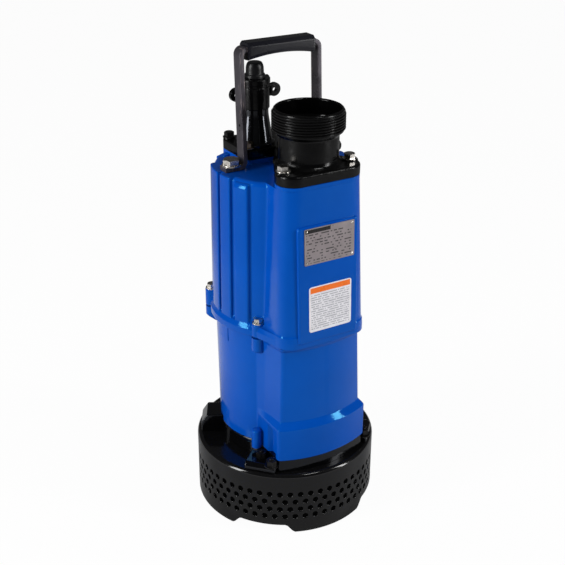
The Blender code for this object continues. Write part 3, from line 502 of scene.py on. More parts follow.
@dataclass(frozen=True)
class BodyPlan:
    """Plan of the cast body: the motor barrel run into the waterway bulge in front of it."""

    axis: Point = (0.0, 0.012)
    web_deg: float = 38.0
    step_deg: float = 0.6
    flank_points: int = 5
    root_points: int = 10
    side_points: int = 18
    corner_points: int = 14
    face_points: int = 36
    fillet_rounds: int = 3
    columns: tuple[tuple[float, float], ...] = ((154.5, 178.0), (181.5, 194.5), (199.0, 212.0))

    def barrel(self, radius: float, rises: Sequence[float] = (0.0, 0.0, 0.0)) -> Outline:
        """Round the barrel from right to left by the back, with columns whose flanks run level.

        Args:
            radius: Radius of the plain barrel.
            rises: How far each column's crest stands out, from the back one to the front one.

        Returns:
            Points of the barrel, as many for every radius and rise.
        """
        marks = [(180 - end, 180 - start, rise) for (start, end), rise in zip(self.columns, rises)]
        marks += [(start, end, rise) for (start, end), rise in zip(self.columns, rises)]
        points: Outline = []
        at = mark = -self.web_deg
        for start, end, rise in sorted(marks):
            crest = radius + rise
            first, last = self.flank_foot(start, radius, crest), self.flank_foot(end, radius, crest)
            points += arc(self.axis, radius, at, first, round((start - mark) / self.step_deg))
            face = arc(self.axis, crest, start, end, round((end - start) / self.step_deg))
            points += straight(points[-1], face[0], self.flank_points) + face
            points += straight(face[-1], polar(self.axis, radius, last), self.flank_points)
            at, mark = last, end
        rest = round((180 + self.web_deg - mark) / self.step_deg)
        return points + arc(self.axis, radius, at, 180 + self.web_deg, rest)

    def flank_foot(self, bearing: float, radius: float, crest: float) -> float:
        """Bearing where a level flank meets the barrel, from the bearing of the crest's edge."""
        foot = math.degrees(math.asin(math.sin(math.radians(bearing)) * crest / radius))
        return foot if bearing < 90 else 180 - foot

    def outline(self, barrel: Outline, half: float, front: float, corner_r: float, crown: float,
                web: float = 0.0) -> Outline:
        """Trace the plan of one level.

        Args:
            barrel: Points of the barrel, which ends plain at both sides.
            half: Half width of the bulge.
            front: Reach of the bulge in front of the centre line.
            corner_r: Radius of the bulge's front corners.
            crown: Rise of the bulge's face at its middle.
            web: Share of the corners between barrel and bulge that is filled.

        Returns:
            The outline, with as many points at every level.
        """
        plain = math.dist(barrel[-1], self.axis)
        root = math.degrees(math.acos(half / plain))
        crown_r = (half * half + crown * crown) / (2 * crown)
        lean = math.degrees(math.asin((half - corner_r) / (crown_r - corner_r)))
        corner_y = crown_r - front - (crown_r - corner_r) * math.cos(math.radians(lean))
        bend = arc(self.axis, plain, 180 + self.web_deg, 180 + root, self.root_points)[1:]
        side = bend + straight(bend[-1], (-half, corner_y), self.side_points)
        left = blended(side, straight(barrel[-1], (-half, corner_y), len(side) + 1), web)
        right = [(-x, y) for x, y in reversed(left)]
        nose = arc((corner_r - half, corner_y), corner_r, 180, 270 - lean, self.corner_points)
        nose += arc((0.0, crown_r - front), crown_r, -90 - lean, -90 + lean, self.face_points)[1:-1]
        nose += arc((half - corner_r, corner_y), corner_r, -90 + lean, 0, self.corner_points)
        return smoothed(barrel + left + nose + right, self.fillet_rounds)


PLAN = BodyPlan()
DISCHARGE_AXIS = (0.0012, -0.0483)


@dataclass(frozen=True)
class JointLug:
    """One of the bolted lugs at the joint of the two housings, as seen on the left side."""

    bearing: float
    bolt_r: float
    rise: float
    depth: float
    radius: float = 0.0085
    root_r: float = 0.0425

    def bolt(self) -> Point:
        """Place of the bolt in plan."""
        return polar(PLAN.axis, self.bolt_r, self.bearing)

    def outline(self, reach: float) -> Outline:
        """Plan of the round-ended lug that runs out of the barrel to a reach."""
        end, root = (polar(PLAN.axis, r, self.bearing) for r in (reach, self.root_r))
        side = polar((0.0, 0.0), self.radius, self.bearing + 90)
        return (arc(end, self.radius, self.bearing - 90, self.bearing + 90, 24)
                + [(root[0] + side[0], root[1] + side[1]), (root[0] - side[0], root[1] - side[1])])


JOINT_LUGS = (JointLug(220.2, 0.0856, 0.0175, 0.0180), JointLug(144.0, 0.0913, 0.0225, 0.0125))


class NodeSketch:
    """Short calls for laying out a node tree."""

    def __init__(self, tree: bpy.types.NodeTree) -> None:
        """Start drawing in a tree.

        Args:
            tree: The tree of a material, a world or a group.
        """
        self.tree = tree

    def add(self, kind: str, **values: object) -> bpy.types.Node:
        """Add a node.

        Args:
            kind: Blender's name for the node type.
            values: Properties to set, and inputs by name with underscores for spaces.

        Returns:
            The new node.
        """
        node = self.tree.nodes.new(kind)
        for name, value in values.items():
            if hasattr(node, name):
                setattr(node, name, value)
            else:
                node.inputs[name.replace("_", " ")].default_value = value
        return node

    def join(self, source: Socket, target: Socket) -> None:
        """Link an output to an input."""
        self.tree.links.new(source, target)

    def math(self, operation: str, first: object, second: object = 0.0) -> Socket:
        """Add a Math node fed by sockets or numbers.

        Args:
            operation: The node's operation.
            first: Its first operand.
            second: Its second operand.

        Returns:
            The result's socket.
        """
        node = self.add("ShaderNodeMath", operation=operation)
        for i, operand in enumerate((first, second)):
            if isinstance(operand, Socket):
                self.join(operand, node.inputs[i])
            else:
                node.inputs[i].default_value = operand
        return node.outputs[0]

    def ramp(self, source: Socket, low: float, high: float, start: float = 0.0,
             end: float = 1.0) -> Socket:
        """Map a value from one range to another, held at its ends.

        Args:
            source: The value.
            low: Where the ramp begins.
            high: Where the ramp ends.
            start: What it gives at the beginning.
            end: What it gives at the end.

        Returns:
            The mapped value's socket.
        """
        node = self.add("ShaderNodeMapRange", clamp=True, From_Min=low, From_Max=high, To_Min=start,
                        To_Max=end)
        self.join(source, node.inputs["Value"])
        return node.outputs["Result"]

    def mix(self, share: object, first: object, second: object) -> Socket:
        """Mix two colours, each a socket or a colour.

        Args:
            share: How much of the second colour shows.
            first: The first colour.
            second: The second colour.

        Returns:
            The mixed colour's socket.
        """
        node = self.add("ShaderNodeMix", data_type="RGBA")
        for i, value in ((0, share), (6, first), (7, second)):
            if isinstance(value, Socket):
                self.join(value, node.inputs[i])
            elif i == 0:
                node.inputs[i].default_value = value
            else:
                node.inputs[i].default_value = (*value, 1.0)
        return node.outputs[2]


class EffectGroup:
    """A node group shared by several finishes."""

    def __init__(self, name: str, inputs: dict[str, tuple[str, object]], outputs: dict[str, str]) -> None:
        """Make the group with its sockets.

        Args:
            name: Name of the group.
            inputs: Socket type and default of each input, by name.
            outputs: Socket type of each output, by name.
        """
        self.tree = bpy.data.node_groups.new(name, "ShaderNodeTree")
        for label, (kind, value) in inputs.items():
            socket = self.tree.interface.new_socket(label, in_out="INPUT", socket_type=kind)
            if value is not None:
                socket.default_value = value
        for label, kind in outputs.items():
            self.tree.interface.new_socket(label, in_out="OUTPUT", socket_type=kind)
        self.draw = NodeSketch(self.tree)
        self.inlet = self.tree.nodes.new("NodeGroupInput").outputs
        self.outlet = self.tree.nodes.new("NodeGroupOutput").inputs

    def use(self, draw: NodeSketch, **values: object) -> bpy.types.Node:
        """Place the group in a material.

        Args:
            draw: The material's sketch.
            values: Inputs by name with underscores for spaces.

        Returns:
            The group node, reading Object coordinates.
        """
        node = draw.add("ShaderNodeGroup", node_tree=self.tree)
        for name, value in values.items():
            node.inputs[name.replace("_", " ")].default_value = value
        draw.join(draw.add("ShaderNodeTexCoord").outputs["Object"], node.inputs["Vector"])
        return node


FLOAT, VECTOR, COLOUR = "NodeSocketFloat", "NodeSocketVector", "NodeSocketColor"


def cast_grain_group() -> EffectGroup:
    """Relief of painted or bare castings: a slow waviness, a fine grain and sparse pits.

    Returns:
        The group.
    """
    group = EffectGroup(
        "cast_grain",
        {"Vector": (VECTOR, None), "Wave Scale": (FLOAT, 40.0), "Wave Height": (FLOAT, 0.0002),
         "Grain Scale": (FLOAT, 900.0), "Grain Height": (FLOAT, 0.00005), "Pit Share": (FLOAT, 0.0)},
        {"Normal": VECTOR})
    draw, inlet = group.draw, group.inlet
    wave = draw.add("ShaderNodeTexNoise", Detail=2.0, Roughness=0.5)
    grain = draw.add("ShaderNodeTexNoise", Detail=3.0, Roughness=0.6)
    pits = draw.add("ShaderNodeTexVoronoi", Scale=260.0)
    for node in (wave, grain, pits):
        draw.join(inlet["Vector"], node.inputs["Vector"])
    draw.join(inlet["Wave Scale"], wave.inputs["Scale"])
    draw.join(inlet["Grain Scale"], grain.inputs["Scale"])
    slow = draw.math("MULTIPLY", wave.outputs[0], inlet["Wave Height"])
    fine = draw.math("MULTIPLY", grain.outputs[0], inlet["Grain Height"])
    dent = draw.ramp(pits.outputs["Distance"], 0.05, 0.35, -0.00012, 0.0)
    dent = draw.math("MULTIPLY", dent, inlet["Pit Share"])
    height = draw.math("ADD", draw.math("ADD", slow, fine), dent)
    bump = draw.add("ShaderNodeBump", Strength=1.0, Distance=1.0)
    draw.join(height, bump.inputs["Height"])
    draw.join(bump.outputs[0], group.outlet["Normal"])
    return group


def mottle_group() -> EffectGroup:
    """Slow change of tone and of roughness over a surface.

    Returns:
        The group.
    """
    group = EffectGroup(
        "mottle",
        {"Vector": (VECTOR, None), "Scale": (FLOAT, 14.0), "Dark": (COLOUR, (0.0, 0.0, 0.0, 1.0)),
         "Light": (COLOUR, (1.0, 1.0, 1.0, 1.0)), "Smooth": (FLOAT, 0.2), "Rough": (FLOAT, 0.3)},
        {"Color": COLOUR, "Roughness": FLOAT})
    draw, inlet = group.draw, group.inlet
    broad = draw.add("ShaderNodeTexNoise", Detail=4.0, Roughness=0.55)
    draw.join(inlet["Vector"], broad.inputs["Vector"])
    draw.join(inlet["Scale"], broad.inputs["Scale"])
    share = draw.ramp(broad.outputs[0], 0.32, 0.68)
    draw.join(draw.mix(share, inlet["Dark"], inlet["Light"]), group.outlet["Color"])
    span = draw.math("SUBTRACT", inlet["Rough"], inlet["Smooth"])
    rough = draw.math("ADD", draw.math("MULTIPLY", span, share), inlet["Smooth"])
    draw.join(rough, group.outlet["Roughness"])
    return group


def scuff_group() -> EffectGroup:
    """Mask of thin scratches and small rubbed spots.

    Returns:
        The group.
    """
    group = EffectGroup(
        "scuffs",
        {"Vector": (VECTOR, None), "Stretch": (VECTOR, (1.0, 1.0, 1.0)), "Scale": (FLOAT, 60.0),
         "Spread": (FLOAT, 0.1)},
        {"Mask": FLOAT})
    draw, inlet = group.draw, group.inlet
    along = draw.add("ShaderNodeVectorMath", operation="MULTIPLY")
    draw.join(inlet["Vector"], along.inputs[0])
    draw.join(inlet["Stretch"], along.inputs[1])
    lines = draw.add("ShaderNodeTexNoise", Detail=5.0, Roughness=0.7)
    draw.join(along.outputs[0], lines.inputs["Vector"])
    draw.join(inlet["Scale"], lines.inputs["Scale"])
    edge = draw.math("SUBTRACT", 0.72, inlet["Spread"])
    over = draw.math("SUBTRACT", lines.outputs[0], edge)
    draw.join(draw.ramp(over, 0.0, 0.05), group.outlet["Mask"])
    return group


def dust_group() -> EffectGroup:
    """Mask of fine dust on faces that look up.

    Returns:
        The group.
    """
    group = EffectGroup("settled_dust", {"Vector": (VECTOR, None), "Amount": (FLOAT, 0.1)}, {"Mask": FLOAT})
    draw, inlet = group.draw, group.inlet
    facing = draw.add("ShaderNodeSeparateXYZ")
    draw.join(draw.add("ShaderNodeNewGeometry").outputs["Normal"], facing.inputs[0])
    specks = draw.add("ShaderNodeTexNoise", Scale=420.0, Detail=3.0, Roughness=0.7)
    draw.join(inlet["Vector"], specks.inputs["Vector"])
    upward = draw.ramp(facing.outputs["Z"], 0.55, 0.95)
    spots = draw.ramp(specks.outputs[0], 0.40, 0.75)
    mask = draw.math("MULTIPLY", draw.math("MULTIPLY", upward, spots), inlet["Amount"])
    draw.join(mask, group.outlet["Mask"])
    return group


@dataclass(frozen=True)
class Effects:
    """The shared node groups."""

    grain: EffectGroup
    mottle: EffectGroup
    scuffs: EffectGroup
    dust: EffectGroup


EFFECTS = Effects(cast_grain_group(), mottle_group(), scuff_group(), dust_group())
DUST_COLOUR = (0.32, 0.31, 0.29)
DUST_ROUGHNESS = 0.5
SCUFF_ROUGHNESS = 0.15


def blank_material(name: str, metallic: float,
                   specular: float) -> tuple[bpy.types.Material, NodeSketch, bpy.types.Node]:
    """Start a material.

    Args:
        name: Its name.
        metallic: How metallic it is.
        specular: Its specular level.

    Returns:
        The material, a sketch of its tree and its shader.
    """
    made = bpy.data.materials.new(name)
    made.use_nodes = True
    shader = made.node_tree.nodes["Principled BSDF"]
    shader.inputs["Metallic"].default_value = metallic
    shader.inputs["Specular IOR Level"].default_value = specular
    return made, NodeSketch(made.node_tree), shader


@dataclass(frozen=True)
class Finish:
    """A surface finish: its colours, its gloss and its relief."""

    name: str
    dark: Triple
    light: Triple
    smooth: float
    rough: float
    metallic: float = 0.0
    specular: float = 0.3
    specular_tint: Triple = (1.0, 1.0, 1.0)
    mottle_scale: float = 14.0
    wave_scale: float = 40.0
    wave_height: float = 0.0
    grain_scale: float = 900.0
    grain_height: float = 0.0
    pits: float = 0.0
    dust: float = 0.0
    scuff: float = 0.0
    scuff_stretch: Triple = (1.0, 1.0, 1.0)
    scuff_colour: Triple = (0.2, 0.2, 0.2)

    def material(self) -> bpy.types.Material:
        """Build the finish as a material.

        Returns:
            The material, made once.
        """
        known = bpy.data.materials.get(self.name)
        if known:
            return known
        made, draw, shader = blank_material(self.name, self.metallic, self.specular)
        shader.inputs["Specular Tint"].default_value = (*self.specular_tint, 1.0)
        tone = EFFECTS.mottle.use(draw, Scale=self.mottle_scale, Dark=(*self.dark, 1.0),
                                  Light=(*self.light, 1.0), Smooth=self.smooth, Rough=self.rough)
        colour, rough = tone.outputs["Color"], tone.outputs["Roughness"]
        if self.scuff > 0:
            marks = EFFECTS.scuffs.use(draw, Spread=self.scuff, Stretch=self.scuff_stretch).outputs["Mask"]
            colour = draw.mix(marks, colour, self.scuff_colour)
            rough = draw.math("ADD", rough, draw.math("MULTIPLY", marks, SCUFF_ROUGHNESS))
        if self.dust > 0:
            film = EFFECTS.dust.use(draw, Amount=self.dust).outputs["Mask"]
            colour = draw.mix(film, colour, DUST_COLOUR)
            rough = draw.math("ADD", rough, draw.math("MULTIPLY", film, DUST_ROUGHNESS))
        relief = EFFECTS.grain.use(draw, Wave_Scale=self.wave_scale, Wave_Height=self.wave_height,
                                   Grain_Scale=self.grain_scale, Grain_Height=self.grain_height,
                                   Pit_Share=self.pits)
        draw.join(colour, shader.inputs["Base Color"])
        draw.join(rough, shader.inputs["Roughness"])
        draw.join(relief.outputs["Normal"], shader.inputs["Normal"])
        return made


BLUE_ENAMEL = Finish(
    "blue_enamel", dark=(0.0003, 0.062, 0.385), light=(0.0005, 0.071, 0.440), smooth=0.07, rough=0.13,
    specular=0.40, specular_tint=(0.14, 0.74, 1.0), mottle_scale=9.0, wave_scale=55.0, wave_height=0.00030,
    grain_scale=700.0, grain_height=0.000016, dust=0.01)
BLACK_ENAMEL = Finish(
    "black_enamel", dark=(0.0010, 0.0010, 0.0012), light=(0.0018, 0.0018, 0.0021), smooth=0.07, rough=0.14,
    specular=0.42, specular_tint=(0.86, 0.90, 1.0), wave_scale=50.0, wave_height=0.00040, grain_scale=600.0,
    grain_height=0.00003, dust=0.01)
BLACK_CASTING = Finish(
    "black_casting", dark=(0.0006, 0.0006, 0.0007), light=(0.0014, 0.0014, 0.0016), smooth=0.14, rough=0.26,
    specular=0.20, wave_scale=60.0, wave_height=0.0006, grain_scale=520.0, grain_height=0.00009, pits=0.5,
    dust=0.02)
BLACK_SHEET = Finish(
    "black_sheet_paint", dark=(0.0022, 0.0022, 0.0025), light=(0.0034, 0.0034, 0.0038), smooth=0.08, rough=0.15,
    specular=0.42, wave_scale=30.0, wave_height=0.00025, grain_scale=800.0, grain_height=0.00001, dust=0.01)
RAW_IRON = Finish(
    "raw_iron", dark=(0.045, 0.042, 0.040), light=(0.12, 0.115, 0.11), smooth=0.4, rough=0.65, metallic=0.9,
    specular=0.5, wave_scale=90.0, wave_height=0.0004, grain_height=0.00016, pits=1.0)
STAINLESS = Finish(
    "stainless_steel", dark=(0.50, 0.47, 0.43), light=(0.74, 0.71, 0.67), smooth=0.16, rough=0.34, metallic=1.0,
    specular=0.5, mottle_scale=160.0, grain_scale=1500.0, grain_height=0.00001, scuff=0.12,
    scuff_stretch=(1.0, 8.0, 1.0), scuff_colour=(0.30, 0.26, 0.21))
BROWNED_STEEL = Finish(
    "browned_steel", dark=(0.20, 0.15, 0.11), light=(0.45, 0.37, 0.28), smooth=0.22, rough=0.42, metallic=1.0,
    specular=0.5, mottle_scale=220.0, grain_height=0.00003)
# Black oxide on the casing nuts; on the rear cover bolts this black is painted shade.
BLACK_OXIDE_AND_SHADE = Finish(
    "black_oxide_and_shade", dark=(0.006, 0.006, 0.006), light=(0.016, 0.015, 0.015), smooth=0.16, rough=0.30,
    metallic=0.5, specular=0.4, mottle_scale=180.0, grain_height=0.00003)
HANDLE_STEEL = Finish(
    "bare_bar_steel", dark=(0.044, 0.040, 0.048), light=(0.078, 0.071, 0.083), smooth=0.24, rough=0.38,
    metallic=0.45, specular=0.35, mottle_scale=45.0, wave_scale=120.0, wave_height=0.00012,
    grain_height=0.00003, scuff=0.14, scuff_stretch=(6.0, 1.0, 0.4), scuff_colour=(0.20, 0.165, 0.165))
RUBBER = Finish(
    "boot_rubber", dark=(0.0020, 0.0021, 0.0027), light=(0.0036, 0.0038, 0.0048), smooth=0.26, rough=0.38,
    specular=0.30, grain_scale=1300.0, grain_height=0.00004, dust=0.02)
GRIP_PLASTIC = Finish(
    "moulded_grip", dark=(0.0046, 0.0046, 0.0076), light=(0.0084, 0.0084, 0.0126), smooth=0.22, rough=0.30,
    specular=0.30, grain_scale=1100.0, grain_height=0.00003, dust=0.02)


@dataclass(frozen=True)
class PrintedFinish:
    """A flat plate or film with plain printed bands and rules, seen from -Y.

    The pattern reads the height and the width in Object coordinates. Its margins are shares
    of the half width or half height, from the middle.
    """

    name: str
    middle: tuple[float, float]
    half: tuple[float, float]
    ground: Triple
    ink: Triple
    band: Triple
    band_end: float
    band_share: float
    rule_pitch: float
    rule_share: float
    marks: float
    gap_share: float
    metallic: float
    smooth: float
    rough: float
    specular: float = 0.4
    dark_share: float = 0.86
    margin: float = 0.90
    band_margin: float = 0.94
    band_foot: float = 0.93
    band_top: float = 0.95
    rule_top: float = 0.88

    def material(self) -> bpy.types.Material:
        """Build the printed finish.

        Returns:
            The new material.
        """
        made, draw, shader = blank_material(self.name, self.metallic, self.specular)
        parts = draw.add("ShaderNodeSeparateXYZ")
        draw.join(draw.add("ShaderNodeTexCoord").outputs["Object"], parts.inputs[0])
        across = draw.math("DIVIDE", draw.math("SUBTRACT", parts.outputs["X"], self.middle[0]), self.half[0])
        up = draw.math("DIVIDE", draw.math("SUBTRACT", parts.outputs["Z"], self.middle[1]), self.half[1])
        tone = EFFECTS.mottle.use(
            draw, Scale=70.0, Dark=(*(self.dark_share * c for c in self.ground), 1.0),
            Light=(*self.ground, 1.0), Smooth=self.smooth, Rough=self.rough)
        inside = draw.math("MULTIPLY", self.within(draw, across, -self.margin, self.margin),
                           self.within(draw, up, -self.margin, self.rule_top - self.band_share))
        band = draw.math("MULTIPLY", self.within(draw, across, -self.band_margin, self.band_end),
                         self.within(draw, up, self.band_foot - self.band_share, self.band_top))
        ruled = draw.math("MULTIPLY", self.rules(draw, across, up), inside)
        colour = draw.mix(ruled, tone.outputs["Color"], self.ink)
        colour = draw.mix(band, colour, self.band)
        draw.join(colour, shader.inputs["Base Color"])
        draw.join(tone.outputs["Roughness"], shader.inputs["Roughness"])
        relief = EFFECTS.grain.use(draw, Wave_Scale=60.0, Wave_Height=0.0001, Grain_Scale=1400.0,
                                   Grain_Height=0.00001)
        draw.join(relief.outputs["Normal"], shader.inputs["Normal"])
        return made

    def within(self, draw: NodeSketch, value: Socket, low: float,
               high: float) -> Socket:
        """Mask that is 1 where a value lies between two limits."""
        return draw.math("MULTIPLY", draw.math("GREATER_THAN", value, low), draw.math("LESS_THAN", value, high))

    def rules(self, draw: NodeSketch, across: Socket,
              up: Socket) -> Socket:
        """Mask of level rows of small plain marks, broken by gaps.

        Args:
            draw: The material's sketch.
            across: Position across the face, from -1 to 1.
            up: Position up the face, from -1 to 1.

        Returns:
            The mask's socket.
        """
        row = draw.math("ADD", draw.math("DIVIDE", up, self.rule_pitch), 50.0)
        line = draw.math("LESS_THAN", draw.math("FRACT", row), self.rule_share)
        cell = draw.math("FLOOR", draw.math("MULTIPLY", draw.math("ADD", across, 2.0), self.marks))
        seed = draw.math("ADD", draw.math("MULTIPLY", draw.math("FLOOR", row), 12.7),
                         draw.math("MULTIPLY", cell, 7.31))
        throw = draw.math("FRACT", draw.math("MULTIPLY", draw.math("SINE", seed), 43.7))
        marked = draw.math("GREATER_THAN", draw.math("ABSOLUTE", throw), self.gap_share)
        return draw.math("MULTIPLY", line, marked)


@dataclass(frozen=True)
class Piece:
    """How a finished mesh is shaded, and what it stands for in the frame."""

    name: str
    finish: Finish | PrintedFinish
    slot: Slot
    nodes: tuple[str, ...] = ()
    sharp_deg: float = 40.0

    def make(self, bm: Shape) -> bpy.types.Object:
        """Turn a bmesh into the object of this piece, riding on the pump.

        Args:
            bm: The shape in place. It is freed.

        Returns:
            The new object.
        """
        mesh = mesh_of(self.name, bm)
        mesh.shade_smooth()
        mesh.set_sharp_from_angle(angle=math.radians(self.sharp_deg))
        mesh.materials.append(self.finish.material())
        piece = linked(self.name, mesh)
        weighted = piece.modifiers.new("weighted", "WEIGHTED_NORMAL")
        weighted.keep_sharp = True
        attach(piece, BODY)
        if self.nodes:
            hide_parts(*self.nodes)
        LOG.info("%s: %d faces", self.name, len(mesh.polygons))
        return piece


@dataclass(frozen=True)
class HexBolt:
    """Hexagon head on a washer."""

    across_flats: float
    head_height: float
    washer_radius: float
    washer_height: float
    chamfer: float = 0.93
    chamfer_deg: float = 28.0
    washer_ease: float = 0.0003
    steps: int = 36

    def shape(self, seat: Sequence[float], turn: float = 0.0) -> Shape:
        """Build one bolt head on its seat.

        Args:
            seat: Middle of the washer's underside.
            turn: How far the head is turned, in degrees.

        Returns:
            A new bmesh.
        """
        x, y, z = seat
        base = z + self.washer_height
        top = base + self.head_height
        flat_r = self.across_flats / 2
        hexagon, shoulder, crown = [], [], []
        for i in range(self.steps):
            bearing = 360 * i / self.steps
            radius = flat_r / math.cos(math.radians((bearing + 30) % 60 - 30))
            way = bearing + turn
            spot = polar((x, y), radius, way)
            drop = (radius - flat_r * self.chamfer) * math.tan(math.radians(self.chamfer_deg))
            hexagon.append((*spot, base))
            shoulder.append((*spot, top - drop))
            crown.append((*polar((x, y), flat_r * self.chamfer, way), top))
        washer = spun(eased([(0.001, z, 0), (self.washer_radius, z, 0),
                             (self.washer_radius, base, self.washer_ease), (0.001, base, 0)], 2),
                      (x, y), self.steps)
        return merge(grown([hexagon, shoulder, crown]), washer)


@dataclass
class Strainer:
    """Perforated sheet strainer that the pump stands on."""

    sheet: float = 0.002
    edge_r: float = 0.0055
    mouth_r: float = 0.0813
    columns: int = 56
    rows: int = 4
    row_pitch: float = 0.01153
    lowest_row: float = 0.0251
    hole_r: float = 0.0038
    stagger: float = 0.25
    cell_side: int = 4
    notches: int = 4
    notch_foot: float = 0.0415
    notch_top: float = 0.032
    notch_height: float = 0.0115
    top_rings: tuple[float, float] = (0.108, 0.096)
    edge_ease: float = 0.0005
    screw_tip: Triple = (0.0022, 244.0, 0.0425)

    def __post_init__(self) -> None:
        """Read the outer size from the frame."""
        self.radius = high_of("strainer").x
        self.height = high_of("strainer").z
        self.pitch = FULL_TURN / self.columns

    def rim(self, angle: float) -> float:
        """Height of the foot's edge at an angle, raised over the four notches."""
        quarter = FULL_TURN / self.notches
        offset = (angle % quarter) - quarter / 2
        across = abs(self.radius * math.sin(offset))
        share = (self.notch_foot - across) / (self.notch_foot - self.notch_top)
        return self.notch_height * clamped(share)

    def cell(self) -> Shape:
        """One flat cell of (angle, height) with its round hole, centred on the origin."""
        half_turn, half_height = self.pitch / 2, self.row_pitch / 2
        count = 4 * self.cell_side
        hole: Ring = []
        frame_ring: Ring = []
        for i in range(count):
            turn = FULL_TURN * i / count + math.pi / 4
            hole.append((self.hole_r / self.radius * math.cos(turn), self.hole_r * math.sin(turn), 0.0))
            side, step = divmod(i, self.cell_side)
            slide = 1 - 2 * step / self.cell_side
            across, up = ((slide, 1.0), (-1.0, slide), (-slide, -1.0), (1.0, -slide))[side]
            frame_ring.append((half_turn * across, half_height * up, 0.0))
        return grown([hole, frame_ring], cap_first=False, cap_last=False)

    def shell(self) -> Shape:
        """Perforated wall, rounded shoulder and top, as one sheet without thickness."""
        unit = mesh_of("strainer_cell", self.cell())
        bm = bmesh.new()
        for row in range(self.rows):
            shift = self.stagger if row % 2 == 0 else -self.stagger
            for column in range(self.columns):
                copy = unit.copy()
                copy.transform(Matrix.Translation(
                    (self.pitch * (column + shift), self.lowest_row + row * self.row_pitch, 0.0)))
                bm.from_mesh(copy)
                bpy.data.meshes.remove(copy)
        bpy.data.meshes.remove(unit)
        for vert in bm.verts:
            angle, height, _ = vert.co
            vert.co = (self.radius * math.cos(angle), self.radius * math.sin(angle), height)
        band_low = self.lowest_row - self.row_pitch / 2
        band_high = band_low + self.rows * self.row_pitch
        merge(bm, self.foot_band(band_low), self.shoulder(band_high))
        bmesh.ops.remove_doubles(bm, verts=bm.verts, dist=2e-5)
        bmesh.ops.recalc_face_normals(bm, faces=bm.faces)
        return bm

    def ring(self, radius: float, height: Callable[[float], float]) -> Ring:
        """Ring of points whose columns match the cells."""
        count = self.columns * self.cell_side
        return [(*polar((0.0, 0.0), radius, 360 * i / count), height(FULL_TURN * i / count))
                for i in range(count)]

    def foot_band(self, top: float) -> Shape:
        """Plain band between the foot's notched edge and the lowest cells."""
        rings = [self.ring(self.radius, lambda a, s=share: self.rim(a) + (top - self.rim(a)) * s)
                 for share in (0.0, 0.35, 0.7, 1.0)]
        return grown(rings, cap_first=False, cap_last=False)

    def shoulder(self, foot: float) -> Shape:
        """Plain band above the cells, the rounded edge and the flat top."""
        rings = [self.ring(self.radius, lambda _: foot),
                 self.ring(self.radius, lambda _: (foot + self.height - self.edge_r) / 2)]
        for drop, inset in quarter_round(self.edge_r, 8):
            rings.append(self.ring(self.radius - inset, lambda _, z=self.height - drop: z))
        for radius in (*self.top_rings, self.mouth_r):
            rings.append(self.ring(radius, lambda _: self.height))
        return grown(rings, cap_first=False, cap_last=False)

    def build(self) -> None:
        """Make the strainer, with its sheet thickness and eased edges."""
        piece = Piece("strainer_sheet", BLACK_SHEET, Slot.SHEET, ("strainer",)).make(self.shell())
        solid = piece.modifiers.new("sheet", "SOLIDIFY")
        solid.thickness = self.sheet
        solid.offset = -1.0
        bevel = piece.modifiers.new("eased", "BEVEL")
        bevel.width = self.edge_ease
        bevel.segments = 2
        bevel.limit_method = "ANGLE"
        bevel.angle_limit = math.radians(50)
        piece.modifiers.move(0, 2)
        tip_r, bearing, level = self.screw_tip
        ends = [(*polar((0.0, 0.0), self.radius - depth, bearing), level) for depth in (0.004, 0.0006)]
        Piece("strainer_screw_tip", STAINLESS, Slot.BRIGHT).make(rod(tip_r, *ends, 16, 0.0003))


